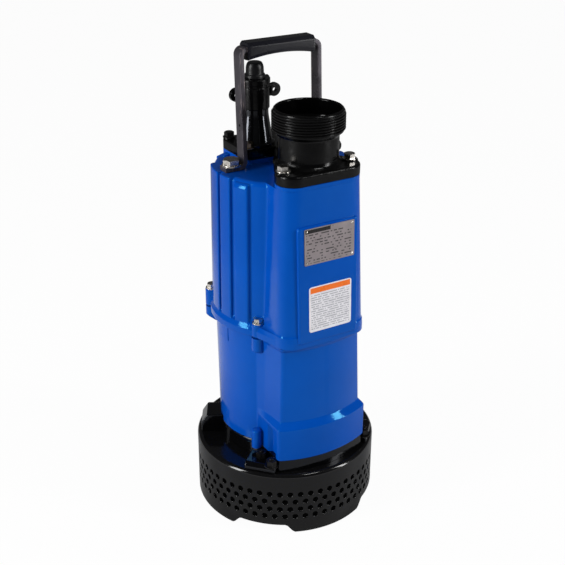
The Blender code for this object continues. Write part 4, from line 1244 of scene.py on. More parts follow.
@dataclass
class PumpCasing:
    """Cast pump casing: the band under the housing, its lugs and the spigot in the strainer."""

    barrel_r: float = 0.0822
    half: float = 0.0648
    front: float = 0.1072
    corner_r: float = 0.006
    crown: float = 0.0150
    spigot_wall: float = 0.018
    chamber_height: float = 0.032
    shaft_way: float = 0.0096
    lug_root: float = 0.050
    front_lug: Triple = (223.0, 0.042, 0.1165)
    back_lug: Triple = (150.0, 0.034, 0.114)
    band_height: float = 0.0174
    gap: float = 0.0003
    front_lug_drop: float = 0.007
    front_chamfer: float = 0.004
    back_chamfer: tuple[float, float] = (0.008, 0.012)
    nut: HexBolt = HexBolt(0.012, 0.0085, 0.0088, 0.0012)
    nut_drop: float = 0.0085
    studs: tuple[Triple, ...] = ((-0.0735, -0.0640, 12.0), (-0.0715, -0.0865, 40.0))
    stud_r: float = 0.0032
    stud_rise: float = 0.0030

    def __post_init__(self) -> None:
        """Read the levels from the frame."""
        self.foot = high_of("strainer").z + self.gap
        self.band_top = self.foot + self.band_height
        self.spigot_foot = low_of("pump_casing").z
        self.lug_top = high_of("pump_casing").z

    def band(self) -> Shape:
        """Band of the casing that shows between the strainer and the housing."""
        outline = PLAN.outline(PLAN.barrel(self.barrel_r), self.half, self.front, self.corner_r, self.crown)
        return eased_prism(outline, self.foot, self.band_top, 0.0012)

    def lug(self, lug: Triple, profile: Sequence[Point], ease: float) -> Shape:
        """One lug from its side profile.

        Args:
            lug: Its bearing, width and reach.
            profile: (reach, height) points of its side.
            ease: Rounding of its edges.

        Returns:
            A new bmesh.
        """
        bearing, width, _ = lug
        sides = [[(reach, across, height) for reach, height in profile] for across in (-width / 2, width / 2)]
        solid = eased_edges(grown(sides), ease, 30.0)
        return placed(solid, Matrix.Rotation(math.radians(bearing), 4, "Z"))

    def spigot(self) -> Shape:
        """Round spigot with the chamber that the impeller turns in."""
        outer = self.barrel_r - 0.0012
        chamber_r = outer - self.spigot_wall
        ceiling = self.spigot_foot + self.chamber_height
        top = self.band_top - 0.002
        return spun([(outer, top), (outer, self.spigot_foot), (chamber_r, self.spigot_foot),
                     (chamber_r, ceiling), (self.shaft_way, ceiling), (self.shaft_way, top)])

    def nuts(self) -> Shape:
        """Nuts and stud ends on the front lugs, under the housing's stud bosses."""
        bm = bmesh.new()
        for x, y, turn in self.studs:
            stud = rod(self.stud_r, (x, y, self.band_top - 0.002), (x, y, self.band_top + self.stud_rise), 20,
                       0.0006)
            merge(bm, self.nut.shape((x, y, self.band_top - self.nut_drop), turn), stud)
        return with_twin(bm)

    def build(self) -> None:
        """Make the casing and its nuts."""
        low = self.foot + self.gap
        _, _, reach = self.front_lug
        top, cut = self.band_top - self.front_lug_drop, self.front_chamfer
        front = self.lug(self.front_lug, [(self.lug_root, low), (reach, low), (reach, top - cut),
                                          (reach - cut, top), (self.lug_root, top)], 0.0022)
        _, _, reach = self.back_lug
        top, (across, down) = self.lug_top, self.back_chamfer
        back = self.lug(self.back_lug, [(self.lug_root, low), (reach, low), (reach, top - down),
                                        (reach - across, top), (self.lug_root, top)], 0.0016)
        body = merge(self.band(), with_twin(front), with_twin(back), self.spigot())
        Piece("pump_bowl", BLACK_ENAMEL, Slot.CAST, ("pump_casing",)).make(body)
        Piece("casing_nuts", BLACK_OXIDE_AND_SHADE, Slot.CAST).make(self.nuts())


@dataclass
class LowerHousing:
    """Blue oil chamber and waterway casting between the casing and the motor."""

    top_radius: float = 0.0850
    taper: float = 0.0028
    half: float = 0.0563
    flare: float = 0.0050
    web: float = 0.75
    front: float = 0.0965
    lean: float = 0.0087
    corner_r: float = 0.006
    crown: float = 0.010
    crown_growth: float = 0.0060
    foot_rise: float = 0.0040
    skirt: Triple = (0.0658, 0.1087, 0.0150)
    skirt_height: float = 0.0450
    pocket: Triple = (-0.0865, -0.0685, 0.0055)
    pocket_height: float = 0.0390
    collar_height: float = 0.0065
    collar_rise: float = 0.0022
    gusset: float = 0.012
    gusset_in: float = 0.020
    stud_boss: Triple = (0.0064, 0.0257, 0.0946)
    seam_rise: float = 0.0005
    seam_x: float = 0.0015
    seam_width: float = 0.003
    ledge_rise: float = 0.0092
    ledge: tuple[Point, ...] = ((-0.0010, 1.0), (-0.0004, 0.985), (0.0002, 0.95), (0.0008, 0.89),
                                (0.0040, 0.49), (0.0072, 0.09), (0.0078, 0.035), (0.0084, 0.01))
    step_drop: float = 0.0225
    step_bearings: tuple[float, float] = (172.0, 187.0)

    def __post_init__(self) -> None:
        """Read the levels from the frame."""
        self.foot = low_of("lower_housing").z + self.foot_rise
        self.top = high_of("lower_housing").z

    def section(self, height: float, skirt: float = 0.0, collar: float = 0.0) -> Outline:
        """Plan of the housing at a height.

        Args:
            height: The height.
            skirt: Share of the skirt's own plan, from 0 on the wall to 1 on the skirt.
            collar: How far the top's collar stands out on the bulge.

        Returns:
            The outline.
        """
        share = (height - self.foot) / (self.top - self.foot)
        radius = self.top_radius - self.taper * (1 - share)
        drop = 1 - share
        wall = (self.half + self.flare * drop + collar, self.front + self.lean * drop + collar,
                self.crown + self.crown_growth * drop)
        half, front, crown = (a + (b - a) * skirt for a, b in zip(wall, self.skirt))
        outline = PLAN.outline(PLAN.barrel(radius), half, front, self.corner_r, crown, self.web)
        if skirt > 0 or collar > 0:
            return outline
        return [(x, y - self.seam(x)) if y < -self.half else (x, y) for x, y in outline]

    def pocketed(self, outline: Outline, share: float) -> Outline:
        """Sink the pockets behind the skirt's front corners into its sides."""
        front, back, depth = self.pocket
        made = []
        for x, y in outline:
            inside = clamped((y - front) / 0.001) * clamped((back - y) / 0.001) * (abs(x) > self.half)
            made.append((x - math.copysign(depth * share * inside, x), y))
        return made

    def seam(self, x: float) -> float:
        """How far the bulge's right half stands before its left one at a place across it."""
        fade_end = self.half * 0.8
        return self.seam_rise * clamped((x - self.seam_x) / self.seam_width + 0.5) * clamped(1 - x / fade_end)

    def body(self) -> Shape:
        """Skirt, ledge, wall and collar in one casting."""
        skirt_top = self.foot + self.skirt_height
        wall_foot, collar_foot = skirt_top + self.ledge_rise, self.top - self.collar_height
        sections = [(self.foot, drawn_in(self.pocketed(self.section(self.foot, 1.0), 1.0), 0.0006))]
        for rise, share in ((0.0007, 1.0), (self.pocket_height, 1.0), (self.pocket_height + 0.0006, 0.7),
                            (self.pocket_height + 0.0016, 0.0)):
            level = self.foot + rise
            sections.append((level, self.pocketed(self.section(level, 1.0), share)))
        for rise, share in self.ledge:
            sections.append((skirt_top + rise, self.section(skirt_top + rise, share)))
        for share in (0.0, 0.2, 0.45, 0.7, 1.0):
            level = wall_foot + (collar_foot - wall_foot) * share
            sections.append((level, self.section(level)))
        for share in (0.15, 0.35, 0.6, 0.85, 1.0):
            level = collar_foot + self.collar_height * share
            rise = self.collar_rise * (1 - math.cos(math.pi * min(1.0, share / 0.85))) / 2
            sections.append((level, self.section(level, 0.0, rise)))
        return stacked(sections)

    def lugs(self) -> Shape:
        """Bolt lugs under the joint, each faired into the barrel below it."""
        bm = bmesh.new()
        for lug in JOINT_LUGS:
            low = self.top - lug.depth
            sections = []
            for share in (0.0, 0.25, 0.5, 0.75, 0.93):
                reach = lug.bolt_r - self.gusset_in * (1 - share) ** 1.25
                sections.append((low - self.gusset * (1 - share), lug.outline(reach)))
            full = lug.outline(lug.bolt_r)
            merge(bm, stacked(sections + [(low + 0.0004, full), (self.top - 0.0002, full)]))
        return with_twin(bm)

    def bosses(self) -> Shape:
        """Stud bosses at the foot with the webs that tie them to the skirt."""
        radius, height, reach = self.stud_boss
        centre = polar(PLAN.axis, reach, JOINT_LUGS[0].bearing)
        top = self.foot + height
        boss = spun(eased([(0.0, self.foot, 0), (radius, self.foot, 0), (radius, top, 0.0022),
                           (0.0, top + 0.0008, 0)]), centre, 40, closed=False)
        x, y = centre
        web = block((x + 0.001, y - 0.0030, self.foot), (x + 0.022, y + 0.0050, top - 0.003), 0.0022)
        return with_twin(merge(boss, web))

    def pads(self) -> Shape:
        """Low cast step on the barrel under the joint ring, left and right."""
        low, high = self.top - self.step_drop, self.top - 0.0002
        start, end = self.step_bearings
        outline = (arc(PLAN.axis, self.top_radius + 0.0006, start, end, 12)
                   + arc(PLAN.axis, self.top_radius - 0.004, end, start, 12))
        return with_twin(eased_edges(stacked([(low, outline), (high, outline)]), 0.0004, 40.0, 2))

    def build(self) -> None:
        """Make the housing as one casting."""
        Piece("oil_housing", BLUE_ENAMEL, Slot.BLUE, ("lower_housing",)).make(
            merge(self.body(), self.lugs(), self.bosses(), self.pads()))


@dataclass
class MotorHousing:
    """Blue motor jacket with its columns, the waterway bulge, the joint ring and the top seats."""

    radius: float = 0.0850
    taper: float = 0.0020
    half: float = 0.0605
    half_taper: float = 0.0055
    front: float = 0.1010
    lean: float = 0.0075
    corner_r: float = 0.020
    crown: float = 0.0015
    relief: float = 0.0045
    rib_foot_drop: float = 0.0105
    rib_top_drop: float = 0.0030
    top_round: float = 0.0055
    crest_round: float = 0.0015
    ring_height: float = 0.010
    ring_rise: float = 0.0072
    ring_front_rise: float = 0.0008
    ring_slope: float = 0.0049
    ring_slope_in: float = 0.0030
    pad_half: float = 0.042
    pad_drop: float = 0.043
    pad_rise: float = 0.0025
    throat: tuple[float, float] = (0.031, 0.060)
    slope_blend: tuple[Point, ...] = ((0.0003, 0.25), (0.0008, 0.45), (0.0015, 0.64), (0.0026, 0.82),
                                      (0.0045, 0.94), (0.0075, 1.0))
    pad_rim: tuple[Point, ...] = ((0.012, 0.0), (0.0020, 0.0), (0.0010, 0.0004), (0.0003, 0.0011),
                                  (0.0, 0.0021))
    pad_corner_r: float = 0.0032
    seat_corner_r: float = 0.010
    gusset_length: float = 0.014
    gusset_y: tuple[float, float] = (0.062, 0.072)

    def __post_init__(self) -> None:
        """Read the levels from the frame."""
        self.foot = low_of("motor_housing").z
        self.top = low_of("handle_bar").z - 0.0003
        self.cover_seat = high_of("motor_housing").z

    def wall(self, height: float, rib_share: float = 1.0) -> Outline:
        """Plan of the jacket at a height, with its rim rounded towards the top."""
        share = (height - self.foot) / (self.top - self.foot)
        crest_inset = self.rounding(height, self.crest_round)
        inset = self.rounding(height, self.top_round)
        relief = self.relief + inset - crest_inset
        barrel = PLAN.barrel(self.radius - self.taper * share - inset, (relief, relief, relief * rib_share))
        return PLAN.outline(barrel, self.half - self.half_taper * share, self.front - self.lean * share,
                            self.corner_r, self.crown)

    def rounding(self, height: float, radius: float) -> float:
        """How far a rim rounded by a radius is drawn in at a height."""
        bend = clamped(1 - (self.top - height) / radius)
        return radius * (1 - math.sqrt(1 - bend * bend))

    def ring(self, inset: float) -> Outline:
        """Plan of the joint ring, its corners filled."""
        rise = self.ring_front_rise * (1 - inset / self.ring_rise)
        spots = PLAN.barrel(self.radius, (self.relief,) * 3)
        turns = sorted((math.degrees(math.atan2(y - PLAN.axis[1], x)) + 90) % 360 - 90 for x, y in spots)
        barrel = [polar(PLAN.axis, self.radius + self.ring_rise - inset, turn) for turn in turns]
        return PLAN.outline(barrel, self.half + rise, self.front + rise, self.corner_r, self.crown, web=1.0)

    def jacket(self) -> Shape:
        """Joint ring, wall and rounded shoulder in one shell, open at the top."""
        foot, edge = self.foot, self.foot + self.ring_height
        sections = [(level, self.ring(inset)) for level, inset in (
            (foot, 0.0012), (foot + 0.0004, 0.0004), (foot + 0.0012, 0.0), (edge - 0.0012, 0.0),
            (edge - 0.0004, 0.0004), (edge + 0.0002, 0.0010))]
        crest = edge + self.ring_slope
        sections.append((crest, self.ring(self.ring_slope_in)))
        for rise, share in self.slope_blend:
            level = crest + rise
            sections.append((level, blended(self.ring(self.ring_slope_in), self.wall(level), share)))
        wall_foot = sections[-1][0]
        rib_foot, rib_top = self.top - self.rib_foot_drop, self.top - self.rib_top_drop
        for share in (0.15, 0.35, 0.6, 0.85, 1.0):
            level = wall_foot + (rib_foot - wall_foot) * share
            sections.append((level, self.wall(level)))
        levels = {rib_foot + (rib_top - rib_foot) * share for share in (0.3, 0.55, 0.75, 0.88, 0.96, 1.0)}
        for radius in (self.top_round, self.crest_round):
            levels |= {self.top - drop for drop, _ in quarter_round(radius, 5)}
        for level in sorted(levels):
            climb = min(1.0, (level - rib_foot) / (rib_top - rib_foot))
            sections.append((level, self.wall(level, math.sqrt(max(0.0, 1 - climb * climb)))))
        return grown([at_height(outline, level) for level, outline in sections], cap_last=False)

    def body(self) -> Shape:
        """Jacket with its top face and the waterway's throat sunk into it."""
        bm = self.jacket()
        radius, depth = self.throat
        hole = fill_round(bm, self.top, DISCHARGE_AXIS, radius)
        sunk = bmesh.ops.extrude_edge_only(bm, edges=hole)["geom"]
        verts = [item for item in sunk if isinstance(item, bmesh.types.BMVert)]
        bmesh.ops.translate(bm, vec=(0.0, 0.0, -depth), verts=verts)
        fresh = set(verts)
        bmesh.ops.contextual_create(bm, geom=[edge for edge in bm.edges if fresh.issuperset(edge.verts)])
        bmesh.ops.recalc_face_normals(bm, faces=bm.faces)
        return bm

    def pad_face(self, height: float) -> float:
        """Depth of the plate pad's face at a height."""
        share = (height - self.foot) / (self.top - self.foot)
        return -(self.front + self.pad_rise - self.lean * share)

    def pad(self) -> Shape:
        """Raised pad that carries the rating plate."""
        low, high = self.foot + self.ring_height - 0.004, self.top - self.pad_drop
        rings = []
        for back, inset in self.pad_rim:
            half = self.pad_half - inset
            outline = rounded_rectangle((-half, low + inset), (half, high - inset), self.pad_corner_r, 6)
            rings.append([(x, self.pad_face(z) + back, z) for x, z in outline])
        return grown(rings)

    def lugs(self) -> Shape:
        """Bolt lugs on the joint ring."""
        bm = bmesh.new()
        for lug in JOINT_LUGS:
            low, high = self.foot + 0.0002, self.foot + lug.rise
            merge(bm, eased_prism(lug.outline(lug.bolt_r), low, high, 0.0012, 0.0006))
        return with_twin(bm)

    def neck(self) -> Shape:
        """Seat of the head cover, with a small gusset at each back corner."""
        low, high = low_of("head_cover"), high_of("head_cover")
        outline = rounded_rectangle((low.x, low.y), (high.x, high.y), self.seat_corner_r, 10)
        seat = eased_prism(outline, self.top - 0.010, self.cover_seat, 0.0006)
        front, back = self.gusset_y
        wedge = block((low.x - self.gusset_length, front, self.top - 0.006),
                      (low.x + 0.006, back, self.cover_seat - 0.0008), 0.0012)
        slope = (self.cover_seat - self.top) / self.gusset_length
        for vert in wedge.verts:
            if vert.co.z > self.top - 0.003:
                vert.co.z -= max(0.0, low.x - vert.co.x) * slope
        return merge(seat, with_twin(wedge))

    def build(self) -> None:
        """Make the jacket as one casting."""
        Piece("motor_jacket", BLUE_ENAMEL, Slot.BLUE, ("motor_housing",)).make(
            merge(self.body(), self.pad(), self.lugs(), self.neck()))


@dataclass
class Discharge:
    """Cast coupling on its three-bolt flange, with a threaded collar."""

    lobe_x: float = 0.0335
    lobe_r: float = 0.022
    back_lobe: tuple[float, float] = (0.0045, 0.013)
    foot_rise: float = 0.0030
    foot_ease: float = 0.0014
    flange_thick: float = 0.0135
    rim_ease: float = 0.0032
    neck_r: float = 0.0367
    neck_height: float = 0.0377
    collar_r: float = 0.0438
    bore_r: float = 0.0385
    throat_r: float = 0.031
    thread_pitch: float = 0.003175
    thread_depth: float = 0.0019
    thread_steps: int = 72
    side_lug: Triple = (-8.0, 0.006, 0.0145)
    seats: tuple[tuple[float, float, float, float], ...] = (
        (-0.0450, -0.0690, 0.0108, 14.0), (0.0462, -0.0690, 0.0108, 33.0), (0.0, 0.0065, 0.0098, 5.0))
    seat_rise: float = 0.0008
    bolt: HexBolt = HexBolt(0.0125, 0.0058, 0.0086, 0.0014)

    def __post_init__(self) -> None:
        """Read the levels from the frame."""
        self.axis = DISCHARGE_AXIS
        self.seat_foot = low_of("discharge_gasket").z
        self.foot = low_of("discharge_coupling").z + self.foot_rise
        self.top = high_of("discharge_coupling").z
        self.flange_top = self.foot + self.flange_thick
        self.collar_foot = self.flange_top + self.neck_height
        self.lobe_y = low_of("discharge_coupling").y + self.lobe_r

    def flange_outline(self) -> Outline:
        """Plan of the flange."""
        back_y, back_r = self.back_lobe
        front = [(x, self.lobe_y, self.lobe_r) for x in (-self.lobe_x, self.lobe_x)]
        return hull_of_lobes([*front, (0.0, back_y, back_r)], 24)

    def flange(self) -> Shape:
        """Flange plate with rounded rims and the throat through it."""
        outline = self.flange_outline()
        rings = [at_height(drawn_in(outline, drop), self.foot + inset)
                 for drop, inset in quarter_round(self.foot_ease, 4)[:-1]]
        rings += [at_height(drawn_in(outline, inset), self.flange_top - drop)
                  for drop, inset in quarter_round(self.rim_ease, 6)]
        bm = grown(rings, cap_first=False, cap_last=False)
        low = fill_round(bm, self.foot, self.axis, self.throat_r)
        high = fill_round(bm, self.flange_top, self.axis, self.throat_r)
        bmesh.ops.bridge_loops(bm, edges=low + high)
        bmesh.ops.recalc_face_normals(bm, faces=bm.faces)
        return bm

    def body(self) -> Shape:
        """Neck and collar turned about the discharge's axis."""
        core = self.collar_r - self.thread_depth
        seat, step = self.collar_foot + 0.008, self.flange_top
        return spun(eased([
            (self.throat_r, self.foot, 0), (self.neck_r + 0.004, self.foot + 0.001, 0),
            (self.neck_r + 0.0052, step - 0.0006, 0), (self.neck_r + 0.0038, step + 0.0006, 0.0005),
            (self.neck_r, step + 0.0046, 0.0034), (self.neck_r, self.collar_foot - 0.0035, 0.002),
            (core, self.collar_foot + 0.0006, 0.001), (core, self.top - 0.0014, 0.0012),
            (core - 0.0018, self.top, 0.0006), (self.bore_r + 0.0012, self.top, 0.0006),
            (self.bore_r, self.top - 0.0016, 0.0005), (self.bore_r, seat, 0.002),
            (self.throat_r, self.collar_foot - 0.006, 0.003)]), self.axis, 128)

    def thread(self) -> Shape:
        """Outside pipe thread, one helical ridge that fades at both ends."""
        start, end = self.collar_foot + 0.0016, self.top - 0.0026
        turns = (end - start) / self.thread_pitch
        count = round(turns * self.thread_steps)
        rings = []
        for i in range(count + 1):
            turn = turns * i / count
            fade = min(1.0, turn / 0.35 + 0.02, (turns - turn) / 0.9 + 0.02)
            level = start + turn * self.thread_pitch
            root = self.collar_r - self.thread_depth - 0.0004
            crest = self.collar_r - self.thread_depth * (1 - fade)
            ring = []
            for radius, rise in ((root, -0.47), (crest - 0.00005, -0.16), (crest, -0.05), (crest, 0.05),
                                 (crest - 0.00005, 0.16), (root, 0.47)):
                ring.append((*polar(self.axis, radius, 360 * turn), level + rise * self.thread_pitch))
            rings.append(ring)
        return grown(rings)

    def details(self) -> Shape:
        """Side lug on the neck and the bolt seats on the flange."""
        bearing, radius, rise = self.side_lug
        level = self.flange_top + rise
        spots = [(*polar(self.axis, reach, bearing), level)
                 for reach in (0.02, self.neck_r + 0.0040, 0.04, self.neck_r + 0.0054)]
        bm = merge(rod(radius, *spots[:2], 32, 0.0012), rod(0.0035, *spots[2:], 6, 0.0005))
        for x, y, seat_r, _ in self.seats:
            merge(bm, bolt_seat((x, y), seat_r, self.flange_top - 0.004, self.flange_top + self.seat_rise,
                                0.0005, 40))
        return bm

    def build(self) -> None:
        """Make the coupling and its bolts."""
        Piece("hose_coupling", BLACK_CASTING, Slot.CAST, ("discharge_coupling",)).make(
            merge(self.body(), self.flange(), self.thread(), self.details()))
        seat = eased_prism(drawn_in(self.flange_outline(), 0.0003), self.seat_foot, self.foot - 0.0002, 0.0003)
        Piece("discharge_seat", BLUE_ENAMEL, Slot.BLUE, ("discharge_gasket",)).make(seat)
        bolts = bmesh.new()
        for x, y, _, turn in self.seats:
            merge(bolts, self.bolt.shape((x, y, self.flange_top + self.seat_rise), turn))
        Piece("flange_bolts", STAINLESS, Slot.BRIGHT).make(bolts)


@dataclass
class HeadCover:
    """Head cover plate and its bolts."""

    corner_r: float = 0.010
    seat_x: float = 0.0370
    seat_inset: tuple[float, float] = (0.0095, 0.0085)
    seat_r: float = 0.0078
    seat_rise: float = 0.0012
    bolt: HexBolt = HexBolt(0.0112, 0.0060, 0.0080, 0.0012)

    def build(self) -> None:
        """Make the cover and its four bolts."""
        low, high = low_of("head_cover"), high_of("head_cover")
        outline = rounded_rectangle((low.x, low.y), (high.x, high.y), self.corner_r, 12)
        plate = eased_prism(outline, low.z, high.z, 0.0016, 0.0006)
        front_in, back_in = self.seat_inset
        seats = [(side * self.seat_x, y) for side in (-1, 1) for y in (low.y + front_in, high.y - back_in)]
        face = high.z + self.seat_rise
        for seat in seats:
            merge(plate, bolt_seat(seat, self.seat_r, high.z - 0.003, face, 0.0006, 36))
        Piece("head_plate", BLACK_CASTING, Slot.CAST, ("head_cover",)).make(plate)
        back, front = bmesh.new(), bmesh.new()
        for i, (x, y) in enumerate(seats):
            merge(back if y > middle_of("head_cover").y else front, self.bolt.shape((x, y, face), 11.0 * i))
        # The rear bolts take the black finish as painted shade, the front ones browned steel.
        Piece("cover_bolts_rear", BLACK_OXIDE_AND_SHADE, Slot.BRIGHT).make(back)
        Piece("cover_bolts_front", BROWNED_STEEL, Slot.BRIGHT).make(front)


@dataclass
class CableGland:
    """Bell-shaped cable gland, its eared clamp, its cap and the rubber cable boot."""

    steps: int = 64
    bore_r: float = 0.0095
    base_r: float = 0.0246
    waist_r: float = 0.0165
    clamp_r: float = 0.0180
    cap_r: float = 0.0188
    ear_reach: float = 0.0265
    ear_r: float = 0.0085
    ear_hole_r: float = 0.0026
    ear_thick: float = 0.0052
    ear_rise: float = 0.0187
    tab_deg: float = 10.0
    boot_collar_r: float = 0.0128
    boot_top_r: float = 0.0095

    def __post_init__(self) -> None:
        """Read the place from the frame."""
        middle = middle_of("gland_body")
        self.axis = (middle.x, middle.y)

    def bell(self) -> Shape:
        """Cast bell between the cover and the clamp."""
        foot, seam = low_of("gland_body").z, high_of("gland_body").z
        r, waist = self.base_r, self.waist_r
        return spun(eased([
            (self.bore_r, foot, 0), (r, foot, 0), (r, foot + 0.0034, 0.0008),
            (r - 0.0022, foot + 0.0052, 0.001), (r - 0.0042, foot + 0.0120, 0.006),
            (waist + 0.0016, seam - 0.0170, 0.012), (waist, seam - 0.0080, 0.004),
            (waist, seam - 0.0004, 0.0003), (self.bore_r, seam, 0)], 7), self.axis, self.steps)

    def ear(self, side: int) -> Shape:
        """One ear of the clamp with its round eye."""
        x, y = self.axis
        level = low_of("gland_clamp").z + self.ear_rise
        half, web_half = self.ear_thick / 2, self.ear_r * 0.86
        eye = spun(eased([(self.ear_hole_r, -half, 0.0003), (self.ear_r, -half, 0.0008),
                          (self.ear_r, half, 0.0008), (self.ear_hole_r, half, 0.0003)], 3), (0.0, 0.0), 40)
        place = Matrix.Translation((x + side * self.ear_reach, y, level))
        placed(eye, place @ Matrix.Rotation(math.pi / 2, 4, "X"))
        near, far = sorted((x + side * 0.010, x + side * (self.ear_reach - self.ear_hole_r - 0.0012)))
        return merge(eye, block((near, y - half, level - web_half), (far, y + half, level + web_half), 0.0008))

    def clamp(self) -> Shape:
        """Cylindrical clamp with two ears and a raised band."""
        low, high = low_of("gland_clamp").z, high_of("gland_clamp").z
        slim = self.clamp_r - 0.0006
        bm = spun(eased([
            (self.bore_r, low, 0), (self.clamp_r, low, 0.0006), (self.clamp_r, low + 0.0262, 0.0004),
            (slim, low + 0.0268, 0.0002), (slim, high, 0.0004), (self.bore_r, high, 0)], 3),
            self.axis, self.steps)
        return merge(bm, self.ear(1), self.ear(-1))

    def cap(self) -> Shape:
        """Flat cap with two screw tabs."""
        low, high = low_of("gland_cap").z, high_of("gland_cap").z
        bm = spun(eased([(self.bore_r, low, 0), (self.cap_r, low, 0.0006), (self.cap_r, high, 0.0012),
                         (self.bore_r, high, 0)], 4), self.axis, self.steps)
        for turn in (0, 180):
            spot = polar(self.axis, self.cap_r, self.tab_deg + turn)
            merge(bm, rod(0.0030, (*spot, low + 0.0008), (*spot, high - 0.0006), 24, 0.0006))
            merge(bm, rod(0.0018, (*spot, high - 0.002), (*spot, high + 0.0003), 6, 0.0002))
        return bm

    def boot(self) -> Shape:
        """Rubber boot with a collar, a tapered sleeve and a closed top."""
        foot, top = low_of("cable_boot").z, high_of("cable_boot").z
        collar, tip = self.boot_collar_r, self.boot_top_r
        return spun(eased([
            (0.0, foot, 0), (collar, foot, 0.0004), (collar, foot + 0.0035, 0.0012),
            (collar - 0.0016, foot + 0.0052, 0.001), (tip + 0.0013, top - 0.0046, 0.0030),
            (tip - 0.0012, top, 0.0022), (0.0, top, 0)], 5), self.axis, self.steps, closed=False)

    def build(self) -> None:
        """Make the gland's four pieces."""
        Piece("gland_bell", BLACK_ENAMEL, Slot.CAST, ("gland_body",)).make(self.bell())
        Piece("gland_collar", BLACK_CASTING, Slot.CAST, ("gland_clamp",)).make(self.clamp())
        Piece("gland_top", BLACK_CASTING, Slot.CAST, ("gland_cap",)).make(self.cap())
        Piece("boot_sleeve", RUBBER, Slot.RUBBER, ("cable_boot",)).make(self.boot())


@dataclass
class Handle:
    """Bent flat bar handle with out-turned feet and its moulded grip."""

    half: float = 0.0532
    thick: float = 0.006
    width: float = 0.016
    lean: float = 0.0483
    bend_r: float = 0.004
    foot_length: float = 0.027
    edge: float = 0.0010
    seat_gap: float = 0.0003
    hole_rise: float = 0.0537
    holes: tuple[Point, ...] = ((0.0, 0.0018), (0.0065, 0.00099))
    hole_shift: float = 0.0012
    grip_stations: int = 32
    grip_rise: float = 0.0080
    grip_width: float = 0.024
    grip_middle_drop: float = 0.0090
    grip_end_drop: float = 0.0135
    grip_bevel: Point = (0.0042, 0.0040)
    grip_ease: float = 0.0014
    nubs_count: int = 13
    nub_pitch: float = 0.0056
    nub_half: Point = (0.0015, 0.0052)
    bolt_x: float = 0.0685
    bolt: HexBolt = HexBolt(0.0190, 0.0066, 0.0120, 0.0018)

    def __post_init__(self) -> None:
        """Read the place from the frame."""
        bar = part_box("handle_bar")
        self.y = bar[0][1] + self.width / 2
        self.foot = bar[0][2] + self.thick / 2
        self.top = bar[1][2] - self.thick / 2
        self.grip_half = high_of("handle_grip").x

    def leaned(self, bm: Shape) -> Shape:
        """Lean a shape backwards from the feet up, its level faces kept level."""
        way = Matrix.Identity(4)
        way[1][2], way[1][3] = self.lean, -self.lean * self.foot
        return placed(bm, way)

    def path(self) -> list[tuple[Vector, Vector]]:
        """Centre line of the bar in side view, as places and outward normals.

        Returns:
            (place, normal) pairs in the XZ plane.
        """
        toe = self.half + self.foot_length
        corners = [Vector(p) for p in ((-toe, self.foot), (-self.half, self.foot), (-self.half, self.top),
                                       (self.half, self.top), (self.half, self.foot), (toe, self.foot))]
        stations = [(corners[0], Vector((0.0, 1.0)))]
        radius = self.bend_r + self.thick / 2
        for before, here, after in zip(corners, corners[1:], corners[2:]):
            way_in, way_out = (here - before).normalized(), (after - here).normalized()
            turn = math.atan2(way_in.x * way_out.y - way_in.y * way_out.x, way_in.dot(way_out))
            left = Vector((-way_in.y, way_in.x))
            sign = 1 if turn > 0 else -1
            centre = here - way_in * radius + left * radius * sign
            for k in range(9):
                angle = turn * k / 8
                normal = left * math.cos(angle) - way_in * math.sin(angle)
                stations.append((centre - normal * radius * sign, normal))
        stations.append((corners[-1], Vector((0.0, 1.0))))
        return stations

    def bar(self) -> Shape:
        """The bent bar, swept with rounded edges."""
        out, across = self.thick / 2, self.width / 2
        section = rounded_rectangle((-out, -across), (out, across), self.edge, 3)
        rings = [[(place.x + normal.x * out, self.y + across, place.y + normal.y * out)
                  for out, across in section] for place, normal in self.path()]
        return self.leaned(grown(rings))

    def drilled(self, piece: bpy.types.Object) -> None:
        """Drill the two small holes in each leg, through the finished mesh."""
        drill = bmesh.new()
        for side in (-1, 1):
            for drop, radius in self.holes:
                level = low_of("handle_bar").z - self.seat_gap + self.hole_rise - drop
                ends = [(side * self.half + reach, self.y - self.hole_shift, level) for reach in (-0.01, 0.01)]
                merge(drill, rod(radius, *ends, 20))
        tool = linked("leg_drill", mesh_of("leg_drill", self.leaned(drill)))
        cutter = piece.modifiers.new("drill", "BOOLEAN")
        cutter.object = tool
        cutter.solver = "EXACT"
        bpy.context.view_layer.update()
        cut = bpy.data.meshes.new_from_object(piece.evaluated_get(bpy.context.evaluated_depsgraph_get()))
        piece.modifiers.remove(cutter)
        piece.data = cut
        bpy.data.objects.remove(tool, do_unlink=True)

    def grip_section(self, drop: float, pinch: float) -> Outline:
        """Section of the grip as (drop, across) points.

        Args:
            drop: How far it hangs below the bar's centre line.
            pinch: How far its whole outline is drawn in.

        Returns:
            The outline, with a bevelled crown and a rounded belly.
        """
        top, half, low = pinch - self.grip_rise, self.grip_width / 2 - pinch, drop - pinch
        across, down = self.grip_bevel
        side = [(low - 0.0012, half - 0.0004, 0.0060), (top + down, half, 0.0012), (top, half - across, 0.0008)]
        return eased([(x, -y, ease) for x, y, ease in reversed(side)] + [(low, 0.0, 0)] + side, 4)

    def grip(self) -> Shape:
        """Moulded grip, arched underneath and thicker at its ends."""
        rings = []
        for i in range(self.grip_stations + 1):
            share = 2 * i / self.grip_stations - 1
            drop = self.grip_middle_drop + (self.grip_end_drop - self.grip_middle_drop) * share ** 2
            rings.append((self.grip_half * share, self.grip_section(drop, 0.0)))
        ease = self.grip_ease
        first, last = rings[0], rings[-1]
        caps_low = [(-self.grip_half, self.grip_section(self.grip_end_drop, ease)),
                    (-self.grip_half + 0.0004, self.grip_section(self.grip_end_drop, 0.0004))]
        rings[0] = (first[0] + ease, first[1])
        rings[-1] = (last[0] - ease, last[1])
        caps_high = [(-x, outline) for x, outline in reversed(caps_low)]
        return grown([[(x, self.y + across, self.top - drop) for drop, across in outline]
                      for x, outline in caps_low + rings + caps_high])

